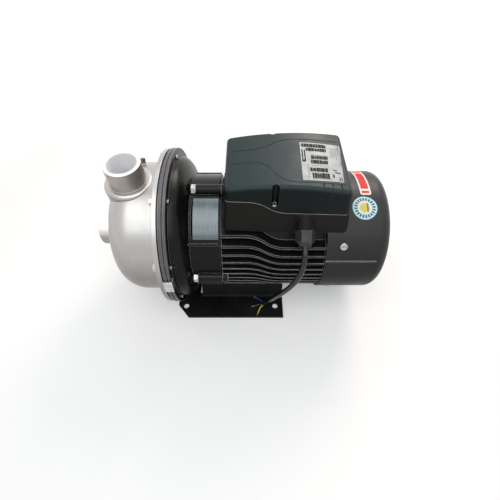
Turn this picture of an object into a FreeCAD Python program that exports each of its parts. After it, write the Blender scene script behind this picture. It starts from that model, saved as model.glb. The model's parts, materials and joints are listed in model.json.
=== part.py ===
import FreeCAD, Part
import math
import os
from FreeCAD import Vector

# Close-coupled centrifugal pump, in millimetres.
# +X runs along the shaft from the suction port to the fan cover, +Z is up.
# The origin is the centre of the foot's bolt pattern, on the floor.
# Every function below measures Z from the shaft axis; save() lifts the shape by shaft_height.

# Whole machine
wet_lift = 8.0              # casing, flanges and suction port share an axis this much above the shaft
flange_x = -82.5            # where the seal plate meets the motor bracket
floor_gap = 13.0            # between the floor and the bracket's disc
fit_clearance = 0.05        # between pieces pressed or spigoted into each other
running_clearance = 0.3     # between turning and fixed pieces

# Pump casing
sheet = 2.0                 # pressed stainless sheet
casing_radius = 101.5
casing_length = 77.0
casing_shoulder = 40.0
flange_overhang = 20.5      # how far the flanges stand past the chamber
casing_flange = 6.0
casing_foot_fillet = 2.0
inlet_pad_radius = 52.0
inlet_pad_height = 4.0
gasket = 1.0
rim_recess = 2.5            # gasket and seal plate end this far inside the flanges' rims
flange_bolt_inset = 7.5     # from the flange's rim to the bolt circle
flange_bolt_count = 8
flange_bolt = 6.0           # thread size
flange_bolt_tip = 2.0       # how far the bolt shows behind the bracket's disc
bolt_play = 0.3             # radial room of a through hole around its bolt

# Ports
suction_bore = 22.4         # G 1 1/2 minor radius
suction_collar = 29.0
suction_reach = 27.5        # collar length in front of the inlet pad
suction_spigot = 12.0       # how far the collar's bore runs on inside the casing
discharge_bore = 19.5       # G 1 1/4 minor radius
discharge_collar = 25.0
discharge_from_flange = 51.0
discharge_reach = 30.0      # collar length above the neck
discharge_spigot = 18.0     # how far its bore runs on inside the casing
spigot_wall = 2.5
neck_radius = 34.0          # neck pressed up from the chamber
neck_rise = 0.6             # its flat top above the chamber's crown
neck_round = 5.0
port_weld = 33.0
port_flange = 3.0
priming_hex = 8.0
priming_height = 6.0
priming_plug_angle = 62.0
priming_plug_from_flange = 43.0
drain_hex = 17.0
drain_height = 7.0
drain_plug_from_flange = 44.5
plug_thread_share = 0.35    # thread, washer and boss radius as shares of the plug's hexagon
plug_washer_share = 0.56
plug_boss_share = 0.62
plug_washer = 1.5
plug_boss_rise = 0.6
plug_reach = 6.0            # thread and boss inside the sheet

# Seal plate and shaft seal
seal_plate = 1.5
seal_dish = 11.0
seal_dish_radius = 84.0
seal_dish_slope = 8.0
seal_cup_radius = 14.5
seal_seat_length = 7.0
seal_head_length = 11.0
seal_head_radius = 13.0

# Impeller and diffuser
impeller_radius = 66.0
impeller_eye = 27.0
impeller_gap = 9.5          # from seal plate to the impeller's back
shroud = 2.2
blade_depth_hub = 12.0
blade_depth_rim = 8.0
impeller_blades = 6
blade_thickness = 2.2
hub_radius = 14.0
guide_vanes = 8
casing_gap = 1.5            # between the diffuser and the chamber below it
eye_reach = 9.0             # the eye's collar in front of the front shroud
wear_ring_wall = 3.0
inlet_tube_start = 21.0     # inner radius at the suction port
inlet_tube_end = 24.0       # inner radius at the eye
inlet_tube_wall = 2.2
diffuser_wall = 2.5
diffuser_rim = 6.0

# Shaft
wet_shaft = 8.0
key_width = 4.0
key_clearance = 0.02
slinger_radius = 22.0
front_journal = 10.0
rotor_seat = 14.0
rear_journal = 8.5
fan_seat = 7.0
bearing_width = 14.0
front_bearing = 23.5
rear_bearing_width = 12.0
rear_bearing = 20.0
race = 3.5                  # radial thickness of a bearing ring

# Motor bracket
disc_overhang = 1.0         # the disc's rim outside the casing's flange
disc_thickness = 10.0
disc_groove = 1.6
bracket_length = 76.8
bracket_neck = 89.3
bracket_wall = 7.0
bell_length = 22.0          # flare between the disc and the neck
bell_root = 112.0
bell_opening = 102.0
bell_curve = 3.5            # exponent of the flare's bulge
bell_steps = 5
bolt_tip_room = 4.5         # spot face around each bolt's tip
bearing_wall = 12.0
lug_circle = 92.0
lug_radius = 7.5
lug_length = 34.0
bolt_head_room = 8.4
guard_inset = 5.6           # from the end of the flare to the guard
bracket_bolt = 8.0
window_low = 44.0           # degrees above the horizontal
window_high = 79.0
rear_window_low = 146.0     # on the far side, counted on from the front
rear_window_high = 173.0
guard_overlap = 1.5         # degrees
rib_angle = 38.0
rib_height = 3.2
rib_thickness = 3.5
guard_sheet = 1.0
clip_angle = 9.5
clip_sheet = 1.6
clip_half = 10.5
clip_hook = 6.0

# Stator housing
housing_length = 148.4
housing_core = 80.0
bore = 75.0
fin_tip = 91.0
fin_pitch = 11.5
fin_thickness = 2.6
fin_lowest = -61.7
fin_count = 12
fin_drop = 13.6
fin_bend_start = 34.0       # from the housing's front face
fin_bend_length = 57.0
belly_fins = 4
front_lug_length = 8.0
lug_web = 10.0
pad_half_width = 42.0
pad_length = 30.0
top_pad_height = 95.5
top_pad_half_width = 32.0

# Motor insides
stator_core_length = 90.0
stator_core_start = 28.0    # from the housing's front face
air_gap = 0.4
stator_bore = 40.0
winding_length = 20.0
cage_ring = 8.0

# Rear end
endshield_wall = 7.0
endshield_skirt = 29.0
shield_screw = 4.0
shield_screw_depth = 12.0
shield_screw_circle = 77.5
cover_length = 91.0
cover_radius = 94.0
cover_wall = 2.0
cover_round = 16.0
grille_radius = 70.0
grille_slot = 4.5
grille_bar = 4.5
grille_rings = 7
grille_spokes = 8
spoke_width = 5.0
cover_rib_angle = 22.6
cover_rib_length = 72.0
cover_rib = 1.2
cover_screw_angle = 37.0
cover_screw_from_end = 68.0
cover_screw = 4.0
cover_screw_head = 5.4
cover_screw_slot = 1.6
fan_blades = 8
fan_radius = 77.0
fan_hub = 17.0
fan_depth = 28.0
fan_disc = 2.2
fan_gap = 27.0              # from the endshield wall to the fan disc

# Terminal box
box_start = 1.7             # from the housing's front face
box_length = 175.0
box_floor = 2.5
box_wall = 2.5
box_low_left = 58.0
box_low_right = 63.0
box_top_left = 50.5
box_top_right = 57.0
box_bottom = 60.0
box_reference = 150.0
box_draft_left = 8.0        # how far the ends lean in at the reference height
box_draft_right = 12.0
box_corner = 7.0
box_crown_left = 139.5
box_crown_middle = 149.0
box_crown_right = 139.5
box_crown_peak = 0.58       # where along the box the crown is highest
box_edge = 6.0
seam_left = 123.0
seam_right = 105.5
seam_bend_start = 35.5
seam_bend_length = 52.5
field_rise = 0.5            # raised field on the cover's top
field_far_left = 17.0
field_far_right = 36.0
field_near_left = 6.0
field_near_right = 44.0
field_bend_start = 39.0
field_bend_length = 59.0
field_start = 14.0
field_margin = 19.0
groove_depth = 1.1
groove_width = 1.7
end_grooves = 3
end_groove_pitch = 11.0
end_groove_first = 26.0     # from the box's fan end
end_groove_reach = 12.0     # how far the end grooves run onto the top
end_groove_low = 131.0
box_screw_x = 66.0
box_screw_slot = 4.6
box_screw = 4.0
box_screw_seat = 118.0
box_gasket = 1.0
saddle_wall = 2.8           # around the housing's top lug
capacitor_radius = 17.0
capacitor_length = 62.0

# Cable gland and cord
gland_x = 109.0
gland_start_y = -66.5
gland_start_z = 82.6
gland_dip = 35.0            # degrees below the horizontal
gland_boss = 13.4
gland_hex = 24.0
gland_body_length = 4.0
gland_nose_length = 7.0
gland_nose_radius = 8.8
gland_nut_length = 12.0
gland_dome_length = 5.5
gland_dome_radius = 8.0
cord_radius = 4.0
cord_lead = 10.5            # straight start of the cord outside the gland
cord_end_height = 21.5      # above the floor
cord_route = [(108.3, -100.2, 0.078), (106.9, -105.7, 0.131), (104.7, -109.1, 0.190), (100.7, -110.7, 0.277),
              (94.6, -110.4, 0.383), (86.8, -107.9, 0.507), (78.6, -103.3, 0.640), (70.9, -97.7, 0.778),
              (64.8, -91.7, 0.909), (60.8, -87.6, 1.0)]
conductor_radius = 1.2

# Foot
foot_length = 192.0
foot_half_width = 106.0
foot_sheet = 4.0
pad_drop = 100.0            # from the shaft down to the foot's table
foot_top_half = 48.0
foot_wall_half = 60.0
foot_bend = 6.0
foot_bolt_x = 164.0
foot_bolt_y = 168.0
foot_hole = 5.0
foot_chamfer_x = 20.0
foot_chamfer_y = 24.0
foot_gap_to_disc = 19.0
foot_web_gap = 4.0          # slit between the flat front web and the raised table
foot_screw_y = 30.0
foot_screw = 8.0

# Radii and heights that follow from the sizes above
casing_flange_radius = casing_radius + flange_overhang
flange_bolt_circle = casing_flange_radius - flange_bolt_inset
gasket_inner_radius = casing_radius + 6.5
disc_radius = casing_flange_radius + disc_overhang
shaft_height = disc_radius - wet_lift + floor_gap
foot_pad_top = -pad_drop
neck_height = wet_lift + casing_radius + neck_rise
discharge_height = neck_height + discharge_reach
diffuser_radius = casing_radius - sheet - wet_lift - casing_gap
inner_neck = bracket_neck - bracket_wall

# Stations along X that follow from the sizes above
plate_front = flange_x - seal_plate
gasket_front = plate_front - gasket
casing_back = gasket_front
casing_rim = casing_back - casing_flange
casing_front = casing_rim - casing_length
pad_front = casing_front - inlet_pad_height
suction_mouth = pad_front - port_flange - suction_reach
discharge_x = flange_x - discharge_from_flange
disc_back = flange_x + disc_thickness
bell_end = disc_back + bell_length
housing_front = flange_x + bracket_length
housing_back = housing_front + housing_length
wall_back = housing_front - 2.3
wall_front = wall_back - bearing_wall
dish_back = flange_x + seal_dish
seat_back = dish_back + 1.5
seat_front = seat_back - seal_seat_length
head_front = seat_front - seal_head_length
impeller_back = plate_front - impeller_gap
impeller_rim_front = impeller_back - shroud - blade_depth_rim
impeller_hub_front = impeller_back - shroud - blade_depth_hub
eye_front = impeller_hub_front - shroud - eye_reach
core_start = housing_front + stator_core_start
core_end = core_start + stator_core_length
front_bearing_x = wall_front - 4.0
rear_bearing_x = housing_back - rear_bearing_width - 4.0
endshield_back = housing_back + endshield_wall
skirt_end = housing_back + endshield_skirt
cover_end = housing_back + cover_length
fan_x = endshield_back + fan_gap
shaft_end = fan_x + fan_depth + 4.0
box_x = housing_front + box_start
box_end = box_x + box_length
lug_end = housing_front + front_lug_length


# General helpers

def save(name, shape):
    """Write one sub-part, lifted so that the floor is Z = 0."""
    lifted = shape.copy()
    lifted.translate(Vector(0, 0, shaft_height))
    lifted.exportStep(os.path.join("parts", name + ".step"))


def rounded_edges(points, radii, closed):
    """Straight edges through the points, with each corner turned into a tangent arc of its radius."""
    count = len(points)
    starts = []
    ends = []
    arcs = []
    for index, corner in enumerate(points):
        radius = radii[index]
        if radius <= 0 or (not closed and index in (0, count - 1)):
            starts.append(corner)
            ends.append(corner)
            arcs.append(None)
            continue
        back = (points[index - 1] - corner).normalize()
        ahead = (points[(index + 1) % count] - corner).normalize()
        half = back.getAngle(ahead) / 2
        reach = radius / math.tan(half)
        middle = corner + (back + ahead).normalize() * (radius / math.sin(half) - radius)
        starts.append(corner + back * reach)
        ends.append(corner + ahead * reach)
        arcs.append(middle)
    edges = []
    for index in range(count):
        if arcs[index] is not None:
            edges.append(Part.Arc(starts[index], arcs[index], ends[index]).toShape())
        if index == count - 1 and not closed:
            break
        following = (index + 1) % count
        if (starts[following] - ends[index]).Length > 1e-6:
            edges.append(Part.LineSegment(ends[index], starts[following]).toShape())
    return edges


def outline(corners, plane):
    """Face from (a, b, radius) corners in the plane: xz, yz or xy."""
    places = {"xz": lambda a, b: Vector(a, 0, b), "yz": lambda a, b: Vector(0, a, b),
              "xy": lambda a, b: Vector(a, b, 0)}
    points = [places[plane](a, b) for a, b, radius in corners]
    radii = [radius for a, b, radius in corners]
    return Part.Face(Part.Wire(rounded_edges(points, radii, True)))


def turned(corners, lift=0.0):
    """Solid of revolution about the shaft, or about a line above it, from (x, radius, rounding) corners."""
    solid = outline(corners, "xz").revolve(Vector(0, 0, 0), Vector(1, 0, 0), 360)
    solid.translate(Vector(0, 0, lift))
    return solid


def ring(start, end, outer, inner, lift=0.0):
    """Plain ring about the shaft, or about a line above it."""
    return turned([(start, inner, 0), (end, inner, 0), (end, outer, 0), (start, outer, 0)], lift)


def bell(start, end, root, mouth):
    """Bell-shaped bar from a circle on the casing's axis to a circle on the shaft's."""
    circles = []
    for step in range(bell_steps + 1):
        share = step / bell_steps
        radius = mouth + (root - mouth) * (1 - share ** bell_curve)
        centre = Vector(start + (end - start) * share, 0, wet_lift * (1 - share))
        circles.append(Part.Wire(Part.makeCircle(radius, centre, Vector(1, 0, 0))))
    return Part.makeLoft(circles, True, False)


def rod(start, end, radius, y=0.0, z=0.0):
    """Round bar along X."""
    return Part.makeCylinder(radius, end - start, Vector(start, y, z), Vector(1, 0, 0))


def block(low, high):
    """Box between two corners."""
    size = [b - a for a, b in zip(low, high)]
    return Part.makeBox(size[0], size[1], size[2], Vector(*low))


def hexagon(across_flats, length, base, direction):
    """Hexagonal bar that starts at base and runs along direction."""
    corner = across_flats / math.sqrt(3)
    points = [Vector(corner * math.cos(math.radians(60 * k)), corner * math.sin(math.radians(60 * k)), 0)
              for k in range(7)]
    bar = Part.Face(Part.makePolygon(points)).extrude(Vector(0, 0, length))
    chamfer_ball = Part.makeCone(corner + length * 0.55, corner - length * 0.04, length)
    bar = bar.common(chamfer_ball)
    bar.Placement = FreeCAD.Placement(base, FreeCAD.Rotation(Vector(0, 0, 1), direction))
    return bar


def at_angle(shape, elevation):
    """Turn a shape made on the front side (-Y) up about the shaft by an elevation in degrees."""
    turned_shape = shape.copy()
    turned_shape.rotate(Vector(0, 0, 0), Vector(1, 0, 0), -elevation)
    return turned_shape


def around(shape, count, first=0.0):
    """Copies of a front-side shape at equal angles about the shaft."""
    return [at_angle(shape, first + 360.0 * k / count) for k in range(count)]


def joined(shapes):
    """One solid from several that touch or overlap."""
    return shapes[0].fuse(shapes[1:]).removeSplitter()


def group(shapes):
    """Separate solids in one node."""
    return Part.makeCompound(shapes)


def s_curve(start_x, end_x, start_z, end_z):
    """Two equal tangent arcs that step from one level to another."""
    run = end_x - start_x
    step = end_z - start_z
    radius = (run ** 2 + step ** 2) / (4 * abs(step))
    half = math.atan(abs(step) / run)
    across = radius * math.sin(half)
    rise = math.copysign(radius * (1 - math.cos(half)), step)
    middle = Vector((start_x + end_x) / 2, 0, (start_z + end_z) / 2)
    first = Part.Arc(Vector(start_x, 0, start_z), Vector(start_x + across, 0, start_z + rise), middle)
    second = Part.Arc(middle, Vector(end_x - across, 0, end_z - rise), Vector(end_x, 0, end_z))
    return [first.toShape(), second.toShape()]


def stepped_line(start_x, bend_x, bend_end_x, end_x, start_z, end_z):
    """Level line, S-curve, level line, as edges in the XZ plane."""
    edges = [Part.LineSegment(Vector(start_x, 0, start_z), Vector(bend_x, 0, start_z)).toShape()]
    edges += s_curve(bend_x, bend_end_x, start_z, end_z)
    edges.append(Part.LineSegment(Vector(bend_end_x, 0, end_z), Vector(end_x, 0, end_z)).toShape())
    return edges


def face_between(lower, upper):
    """Face between two open edge chains that share their X range."""
    def ends(edges):
        points = [vertex.Point for edge in edges for vertex in edge.Vertexes]
        return min(points, key=lambda p: p.x), max(points, key=lambda p: p.x)
    low_start, low_end = ends(lower)
    high_start, high_end = ends(upper)
    closing = [Part.LineSegment(low_start, high_start).toShape(),
               Part.LineSegment(low_end, high_end).toShape()]
    return Part.Face(Part.Wire(Part.__sortEdges__(lower + upper + closing)))


def wide_extrusion(face, half_width):
    """Extrude a face in the XZ plane to both sides."""
    moved = face.copy()
    moved.translate(Vector(0, -half_width, 0))
    return moved.extrude(Vector(0, 2 * half_width, 0))


# Wet end

def chamber(offset):
    """The pressed chamber's volume, shrunk by an offset: drum, inlet pad and port neck."""
    front = casing_front + offset
    radius = casing_radius - offset
    end = casing_back if offset else casing_rim + 1.0
    drum = turned([(front, 0, 0), (end, 0, 0), (end, radius, 0),
                   (front, radius, casing_shoulder - offset)], wet_lift)
    pad = turned([(pad_front + offset, 0, 0), (front + 10, 0, 0), (front + 10, inlet_pad_radius - offset, 0),
                  (pad_front + offset, inlet_pad_radius - offset, 3.0 - offset * 0.5)], wet_lift)
    top = neck_height - offset
    base = casing_radius - casing_shoulder
    neck_profile = [Vector(0, 0, base), Vector(neck_radius - offset, 0, base),
                    Vector(neck_radius - offset, 0, top), Vector(0, 0, top)]
    neck_face = Part.Face(Part.Wire(rounded_edges(neck_profile, [0, 0, neck_round - offset, 0], True)))
    neck = neck_face.revolve(Vector(0, 0, 0), Vector(0, 0, 1), 360)
    neck.translate(Vector(discharge_x, 0, 0))
    return drum.fuse([pad, neck])


def on_flange(shape):
    """Copies of a front-side shape at the flange bolts' places, around the casing's axis."""
    copies = around(shape, flange_bolt_count, 180.0 / flange_bolt_count)
    for one in copies:
        one.translate(Vector(0, 0, wet_lift))
    return copies


def flange_holes(radius, start, end):
    """Bars that cut the flange bolts' holes."""
    return on_flange(rod(start, end, radius, -flange_bolt_circle))


def pump_casing():
    """Pressed stainless chamber with its flange, open at the ports and at the back."""
    outside = chamber(0.0)
    flange = rod(casing_rim, casing_back, casing_flange_radius, 0.0, wet_lift)
    body = outside.fuse(flange).removeSplitter()
    foot_edges = [edge for edge in body.Edges
                  if edge.Closed and abs(edge.BoundBox.XMin - casing_rim) < 1e-3
                  and abs(edge.BoundBox.XMax - casing_rim) < 1e-3
                  and abs(edge.BoundBox.YMax - casing_radius) < 1e-2]
    body = body.makeFillet(casing_foot_fillet, foot_edges)
    body = body.cut(chamber(sheet))
    suction_hole = rod(pad_front - 1, pad_front + 10, suction_bore + 4.4, 0.0, wet_lift)
    discharge_hole = Part.makeCylinder(discharge_bore + spigot_wall + fit_clearance, 20,
                                       Vector(discharge_x, 0, neck_height - 10))
    holes = flange_holes(flange_bolt / 2 + bolt_play, casing_rim - 3, casing_back + 1)
    return body.cut([suction_hole, discharge_hole] + holes + plug_bores())


def suction_socket():
    """Threaded inlet collar with its weld flange and the short spigot inside the casing."""
    flange_front = pad_front - port_flange
    spigot_end = pad_front + suction_spigot
    return turned([(suction_mouth, suction_bore, 1.2), (spigot_end, suction_bore, 0),
                   (spigot_end, suction_bore + 4.2, 0), (pad_front, suction_bore + 4.2, 0),
                   (pad_front, port_weld, 0), (flange_front, port_weld, 1.5),
                   (flange_front, suction_collar, 2.0), (suction_mouth, suction_collar, 1.5)], wet_lift)


def discharge_socket():
    """Threaded outlet collar, welded on the neck of the casing, with its spigot inside."""
    spigot = discharge_bore + spigot_wall
    spigot_end = neck_height - discharge_spigot
    corners = [(discharge_bore, spigot_end, 0), (spigot, spigot_end, 0), (spigot, neck_height, 0),
               (discharge_collar, neck_height, 1.0),
               (discharge_collar, discharge_height, 1.6), (discharge_bore, discharge_height, 1.2)]
    points = [Vector(a, 0, b) for a, b, radius in corners]
    radii = [radius for a, b, radius in corners]
    collar = Part.Face(Part.Wire(rounded_edges(points, radii, True)))
    collar = collar.revolve(Vector(0, 0, 0), Vector(0, 0, 1), 360)
    collar.translate(Vector(discharge_x, 0, 0))
    return collar


def plug_seats():
    """Centre, outward direction, hexagon and height of the priming plug and of the drain plug."""
    angle = math.radians(priming_plug_angle)
    outward = Vector(0, math.cos(angle), math.sin(angle))
    centre = Vector(flange_x - priming_plug_from_flange, 0, wet_lift) + outward * casing_radius
    drain = Vector(flange_x - drain_plug_from_flange, 0, wet_lift - casing_radius)
    return [(centre, outward, priming_hex, priming_height), (drain, Vector(0, 0, -1), drain_hex, drain_height)]


def plug_bores():
    """Holes of the two plugs in the sheet."""
    return [Part.makeCylinder(flats * plug_thread_share + 0.2, 8, seat - outward * 5, outward)
            for seat, outward, flats, height in plug_seats()]


def plug(seat, outward, flats, height):
    """Hexagon plug with a washer face and a short thread inside the casing."""
    start = seat + outward * plug_boss_rise
    washer = Part.makeCylinder(flats * plug_washer_share, plug_washer, start, outward)
    head = hexagon(flats, height, start + outward * plug_washer, outward)
    thread = Part.makeCylinder(flats * plug_thread_share, plug_reach + 1.0, start - outward * plug_reach, outward)
    return joined([washer, head, thread])


def plug_boss(seat, outward, flats):
    """Ring pressed between plug and sheet."""
    boss = Part.makeCylinder(flats * plug_boss_share, plug_reach + plug_boss_rise, seat - outward * plug_reach,
                             outward)
    return boss.cut(Part.makeCylinder(flats * plug_thread_share + 0.2, 12, seat - outward * 8, outward))


def casing_with_bosses():
    """Casing with the two flat seats that its plugs close on."""
    casing = pump_casing()
    inside = chamber(sheet)
    bosses = [plug_boss(seat, outward, flats).cut(inside) for seat, outward, flats, height in plug_seats()]
    return casing.fuse(bosses).removeSplitter()


def casing_gasket():
    """Flat gasket between casing flange and seal plate."""
    flat = ring(gasket_front, plate_front, casing_flange_radius - rim_recess, gasket_inner_radius, wet_lift)
    return flat.cut(flange_holes(flange_bolt / 2 + bolt_play, gasket_front - 1, plate_front + 1))


def seal_plate_shape():
    """Dished stainless plate that closes the casing and holds the fixed seal ring."""
    back = flange_x
    slope = seal_dish_slope
    flat = rod(plate_front, back, casing_flange_radius - rim_recess, 0.0, wet_lift)
    flat = flat.cut(rod(plate_front - 1, back + 1, seal_dish_radius + 3))
    dish = turned([
        (plate_front, seal_dish_radius + 6, 0), (plate_front, seal_dish_radius, 2.0),
        (dish_back - seal_plate, seal_dish_radius - slope, 3.0),
        (dish_back - seal_plate, seal_cup_radius + 3.0, 1.5),
        (seat_front, seal_cup_radius + 3.0, 0), (seat_front, seal_cup_radius, 0),
        (dish_back - 0.5, seal_cup_radius, 0), (dish_back - 0.5, front_journal + 0.8, 0),
        (seat_back + 1.0, front_journal + 0.8, 0), (seat_back + 1.0, seal_cup_radius + 5.0, 1.5),
        (dish_back, seal_cup_radius + 5.0, 0),
        (dish_back, seal_dish_radius - slope, 4.0), (back, seal_dish_radius, 3.0),
        (back, seal_dish_radius + 6, 0)])
    return joined([flat, dish]).cut(flange_holes(flange_bolt / 2 + bolt_play, plate_front - 1, back + 1))


def seal_seat():
    """Fixed ceramic ring of the shaft seal."""
    return ring(seat_front + 0.2, dish_back - 0.5 - 0.05, seal_cup_radius - fit_clearance, wet_shaft + 0.6)


def seal_head():
    """Turning half of the shaft seal: carbon face, bellows and shell."""
    inner = wet_shaft + 0.02
    return turned([(head_front, inner, 0), (seat_front + 0.2, inner, 0), (seat_front + 0.2, 10.8, 0),
                   (seat_front - 2.5, 10.8, 0), (seat_front - 2.5, seal_head_radius, 0.6),
                   (head_front + 4, seal_head_radius, 0.8), (head_front + 2.6, seal_head_radius - 1.4, 0.6),
                   (head_front, seal_head_radius - 1.4, 0)])


def blade(root, tip, turn, thickness, start_x, end_x):
    """One backward-curved blade: an arc band that starts at the root radius and ends at the tip radius."""
    angle = math.radians(turn)
    low = Vector(0, -root, 0)
    high = Vector(0, -tip * math.cos(angle), tip * math.sin(angle))
    middle_radius = (root + tip) / 2
    lag = angle * 0.32
    bulge = Vector(0, -middle_radius * math.cos(lag), middle_radius * math.sin(lag))

    def shifted(point, side):
        sideways = Vector(0, point.z, -point.y).normalize()
        return point + sideways * (side * thickness / 2)

    near = Part.Arc(shifted(low, -1), shifted(bulge, -1), shifted(high, -1)).toShape()
    far = Part.Arc(shifted(low, 1), shifted(bulge, 1), shifted(high, 1)).toShape()
    caps = [Part.LineSegment(shifted(low, -1), shifted(low, 1)).toShape(),
            Part.LineSegment(shifted(high, -1), shifted(high, 1)).toShape()]
    face = Part.Face(Part.Wire(Part.__sortEdges__([near, far] + caps)))
    face.translate(Vector(start_x, 0, 0))
    return face.extrude(Vector(end_x - start_x, 0, 0))


def impeller():
    """Closed impeller: back shroud with hub, six backward-curved blades and a front shroud with its eye."""
    rim = impeller_radius
    hub_front = impeller_hub_front - 2.0
    back = turned([(impeller_back, wet_shaft + 0.02, 0), (impeller_back, rim, 0.5),
                   (impeller_back - shroud, rim, 0.5), (impeller_back - shroud, hub_radius + 8, 10),
                   (hub_front, hub_radius, 0), (hub_front, wet_shaft + 0.02, 0)])
    front = turned([(impeller_rim_front, rim, 0), (impeller_rim_front - shroud, rim, 0),
                    (impeller_hub_front - shroud, impeller_eye + 6, 4),
                    (impeller_hub_front - shroud, impeller_eye, 2), (eye_front, impeller_eye, 0.5),
                    (eye_front, impeller_eye - shroud, 0.5),
                    (impeller_hub_front, impeller_eye - shroud, 3), (impeller_hub_front, impeller_eye + 6, 4)])
    envelope = turned([(impeller_back - shroud * 0.5, hub_radius + 4, 0), (impeller_back - shroud * 0.5, rim - 0.3, 0),
                       (impeller_rim_front - shroud * 0.5, rim - 0.3, 0),
                       (impeller_hub_front - shroud * 0.5, impeller_eye + 6, 0),
                       (impeller_hub_front - shroud * 0.5, hub_radius + 4, 0)])
    one = blade(hub_radius + 5, rim - 0.3, 62.0, blade_thickness, impeller_hub_front - shroud, impeller_back)
    blades = [shape.common(envelope) for shape in around(one, impeller_blades)]
    slot = key_shape(key_clearance).fuse(block((impeller_back - 3, -key_width / 2 - key_clearance, wet_shaft - 2),
                                               (impeller_back + 1, key_width / 2 + key_clearance,
                                                wet_shaft + key_width / 2 + key_clearance)))
    return joined([back, front] + blades).cut(slot)


def inlet_tube(radius_start, radius_end, start, end):
    """Sloping round bar from the suction port's axis down to the shaft's."""
    return Part.makeLoft([Part.Wire(Part.makeCircle(radius_start, Vector(start, 0, wet_lift), Vector(1, 0, 0))),
                          Part.Wire(Part.makeCircle(radius_end, Vector(end, 0, 0), Vector(1, 0, 0)))], True, True)


def diffuser():
    """Inlet tube and front wall with the guide vanes that ring the impeller."""
    wall_x = impeller_hub_front - shroud - 1.6
    seat = impeller_eye + running_clearance + wear_ring_wall
    tube_front = pad_front + suction_spigot + 1.0
    hub_back = eye_front - 3.5
    hub_front = hub_back - diffuser_wall
    rim_inner = diffuser_radius - diffuser_rim
    shell = turned([
        (hub_front, inlet_tube_end - 3, 0), (hub_back, inlet_tube_end - 3, 0), (hub_back, seat, 0),
        (wall_x, seat, 0), (wall_x, rim_inner, 0), (plate_front, rim_inner, 0), (plate_front, diffuser_radius, 0),
        (wall_x - diffuser_wall, diffuser_radius, 0), (wall_x - diffuser_wall, seat + 3.0, 0),
        (hub_front, seat + 3.0, 0)])
    port = block((impeller_back + 0.5, -diffuser_radius - 1, -9), (plate_front - 3.5, -rim_inner + 3, 9))
    shell = shell.cut(around(port, guide_vanes, 10.0))
    vane = blade(impeller_radius + 2.5, rim_inner + diffuser_rim / 2, 30.0, blade_thickness,
                 wall_x - diffuser_wall / 2, impeller_back - 0.5)
    tube = inlet_tube(inlet_tube_start + inlet_tube_wall, inlet_tube_end + inlet_tube_wall, tube_front, hub_back)
    passage = inlet_tube(inlet_tube_start, inlet_tube_end, tube_front, hub_back)
    return shell.fuse([tube] + around(vane, guide_vanes)).cut(passage)


def wear_ring():
    """Replaceable ring around the impeller's eye."""
    outer = impeller_eye + running_clearance + wear_ring_wall - fit_clearance
    return ring(eye_front - 3.5 + 0.05, impeller_hub_front - shroud - 1.8, outer, impeller_eye + running_clearance)


def impeller_nut():
    """Cap nut that holds the impeller."""
    start = Vector(impeller_hub_front - 2.0, 0, 0)
    nut = hexagon(17.0, 9.0, start, Vector(-1, 0, 0))
    dome = Part.makeSphere(7.2, start + Vector(-7.0, 0, 0))
    dome = dome.common(rod(start.x - 16, start.x - 7, 9.0))
    return joined([nut, dome]).cut(rod(start.x - 8.1, start.x + 1, wet_shaft - 2.0 + 0.05))


def flange_bolts():
    """Hexagon bolts through casing flange, gasket and seal plate into the bracket's disc."""
    head = hexagon(10.0, 4.2, Vector(casing_rim, -flange_bolt_circle, 0), Vector(-1, 0, 0))
    shank = rod(casing_rim, disc_back + flange_bolt_tip, flange_bolt / 2, -flange_bolt_circle)
    return group(on_flange(joined([head, shank])))


# Motor bracket and guards

def window_cutter(low, high, inner, outer, start, end):
    """Sector of a ring between two elevations."""
    width = high - low
    face = Part.Face(Part.makePolygon([Vector(start, -inner, 0), Vector(end, -inner, 0), Vector(end, -outer, 0),
                                       Vector(start, -outer, 0), Vector(start, -inner, 0)]))
    sector = face.revolve(Vector(0, 0, 0), Vector(1, 0, 0), -width)
    return at_angle(sector, low)


def bracket_disc():
    """Flanged disc on the casing's axis with a groove round its rim."""
    groove_start = flange_x + disc_thickness * 0.40
    groove_end = flange_x + disc_thickness * 0.60
    bevel = disc_thickness * 0.05
    return turned([
        (flange_x, 0, 0), (flange_x, disc_radius, 1.0), (groove_start, disc_radius, 0),
        (groove_start + bevel, disc_radius - disc_groove, 0), (groove_end - bevel, disc_radius - disc_groove, 0),
        (groove_end, disc_radius, 0), (disc_back, disc_radius, 1.5), (disc_back, 0, 0)], wet_lift)


def bracket_barrel():
    """Neck of the bracket with the front bearing's wall and seat."""
    hub = front_bearing + 6.0
    seat_end = front_bearing_x + bearing_width
    return turned([
        (bell_end - 0.5, inner_neck, 0), (bell_end - 0.5, bracket_neck, 0),
        (housing_front - 3.0, bracket_neck, 1.0), (housing_front - 3.0, bracket_neck - 4, 0),
        (housing_front, bracket_neck - 4, 0), (housing_front, bore - fit_clearance, 0),
        (housing_front + 4.0, bore - fit_clearance, 0.8), (housing_front + 4.0, bore - 6, 0),
        (wall_back, bore - 6, 2.0), (wall_back, front_journal + 4, 0), (seat_end + 2, front_journal + 4, 0),
        (seat_end + 2, front_journal + 2.5, 0), (seat_end, front_journal + 2.5, 0),
        (seat_end, front_bearing + fit_clearance, 0), (front_bearing_x - 1, front_bearing + fit_clearance, 0),
        (front_bearing_x - 1, hub, 1.5), (wall_front, hub + 3, 3.0), (wall_front, inner_neck, 5.0)])


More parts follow.
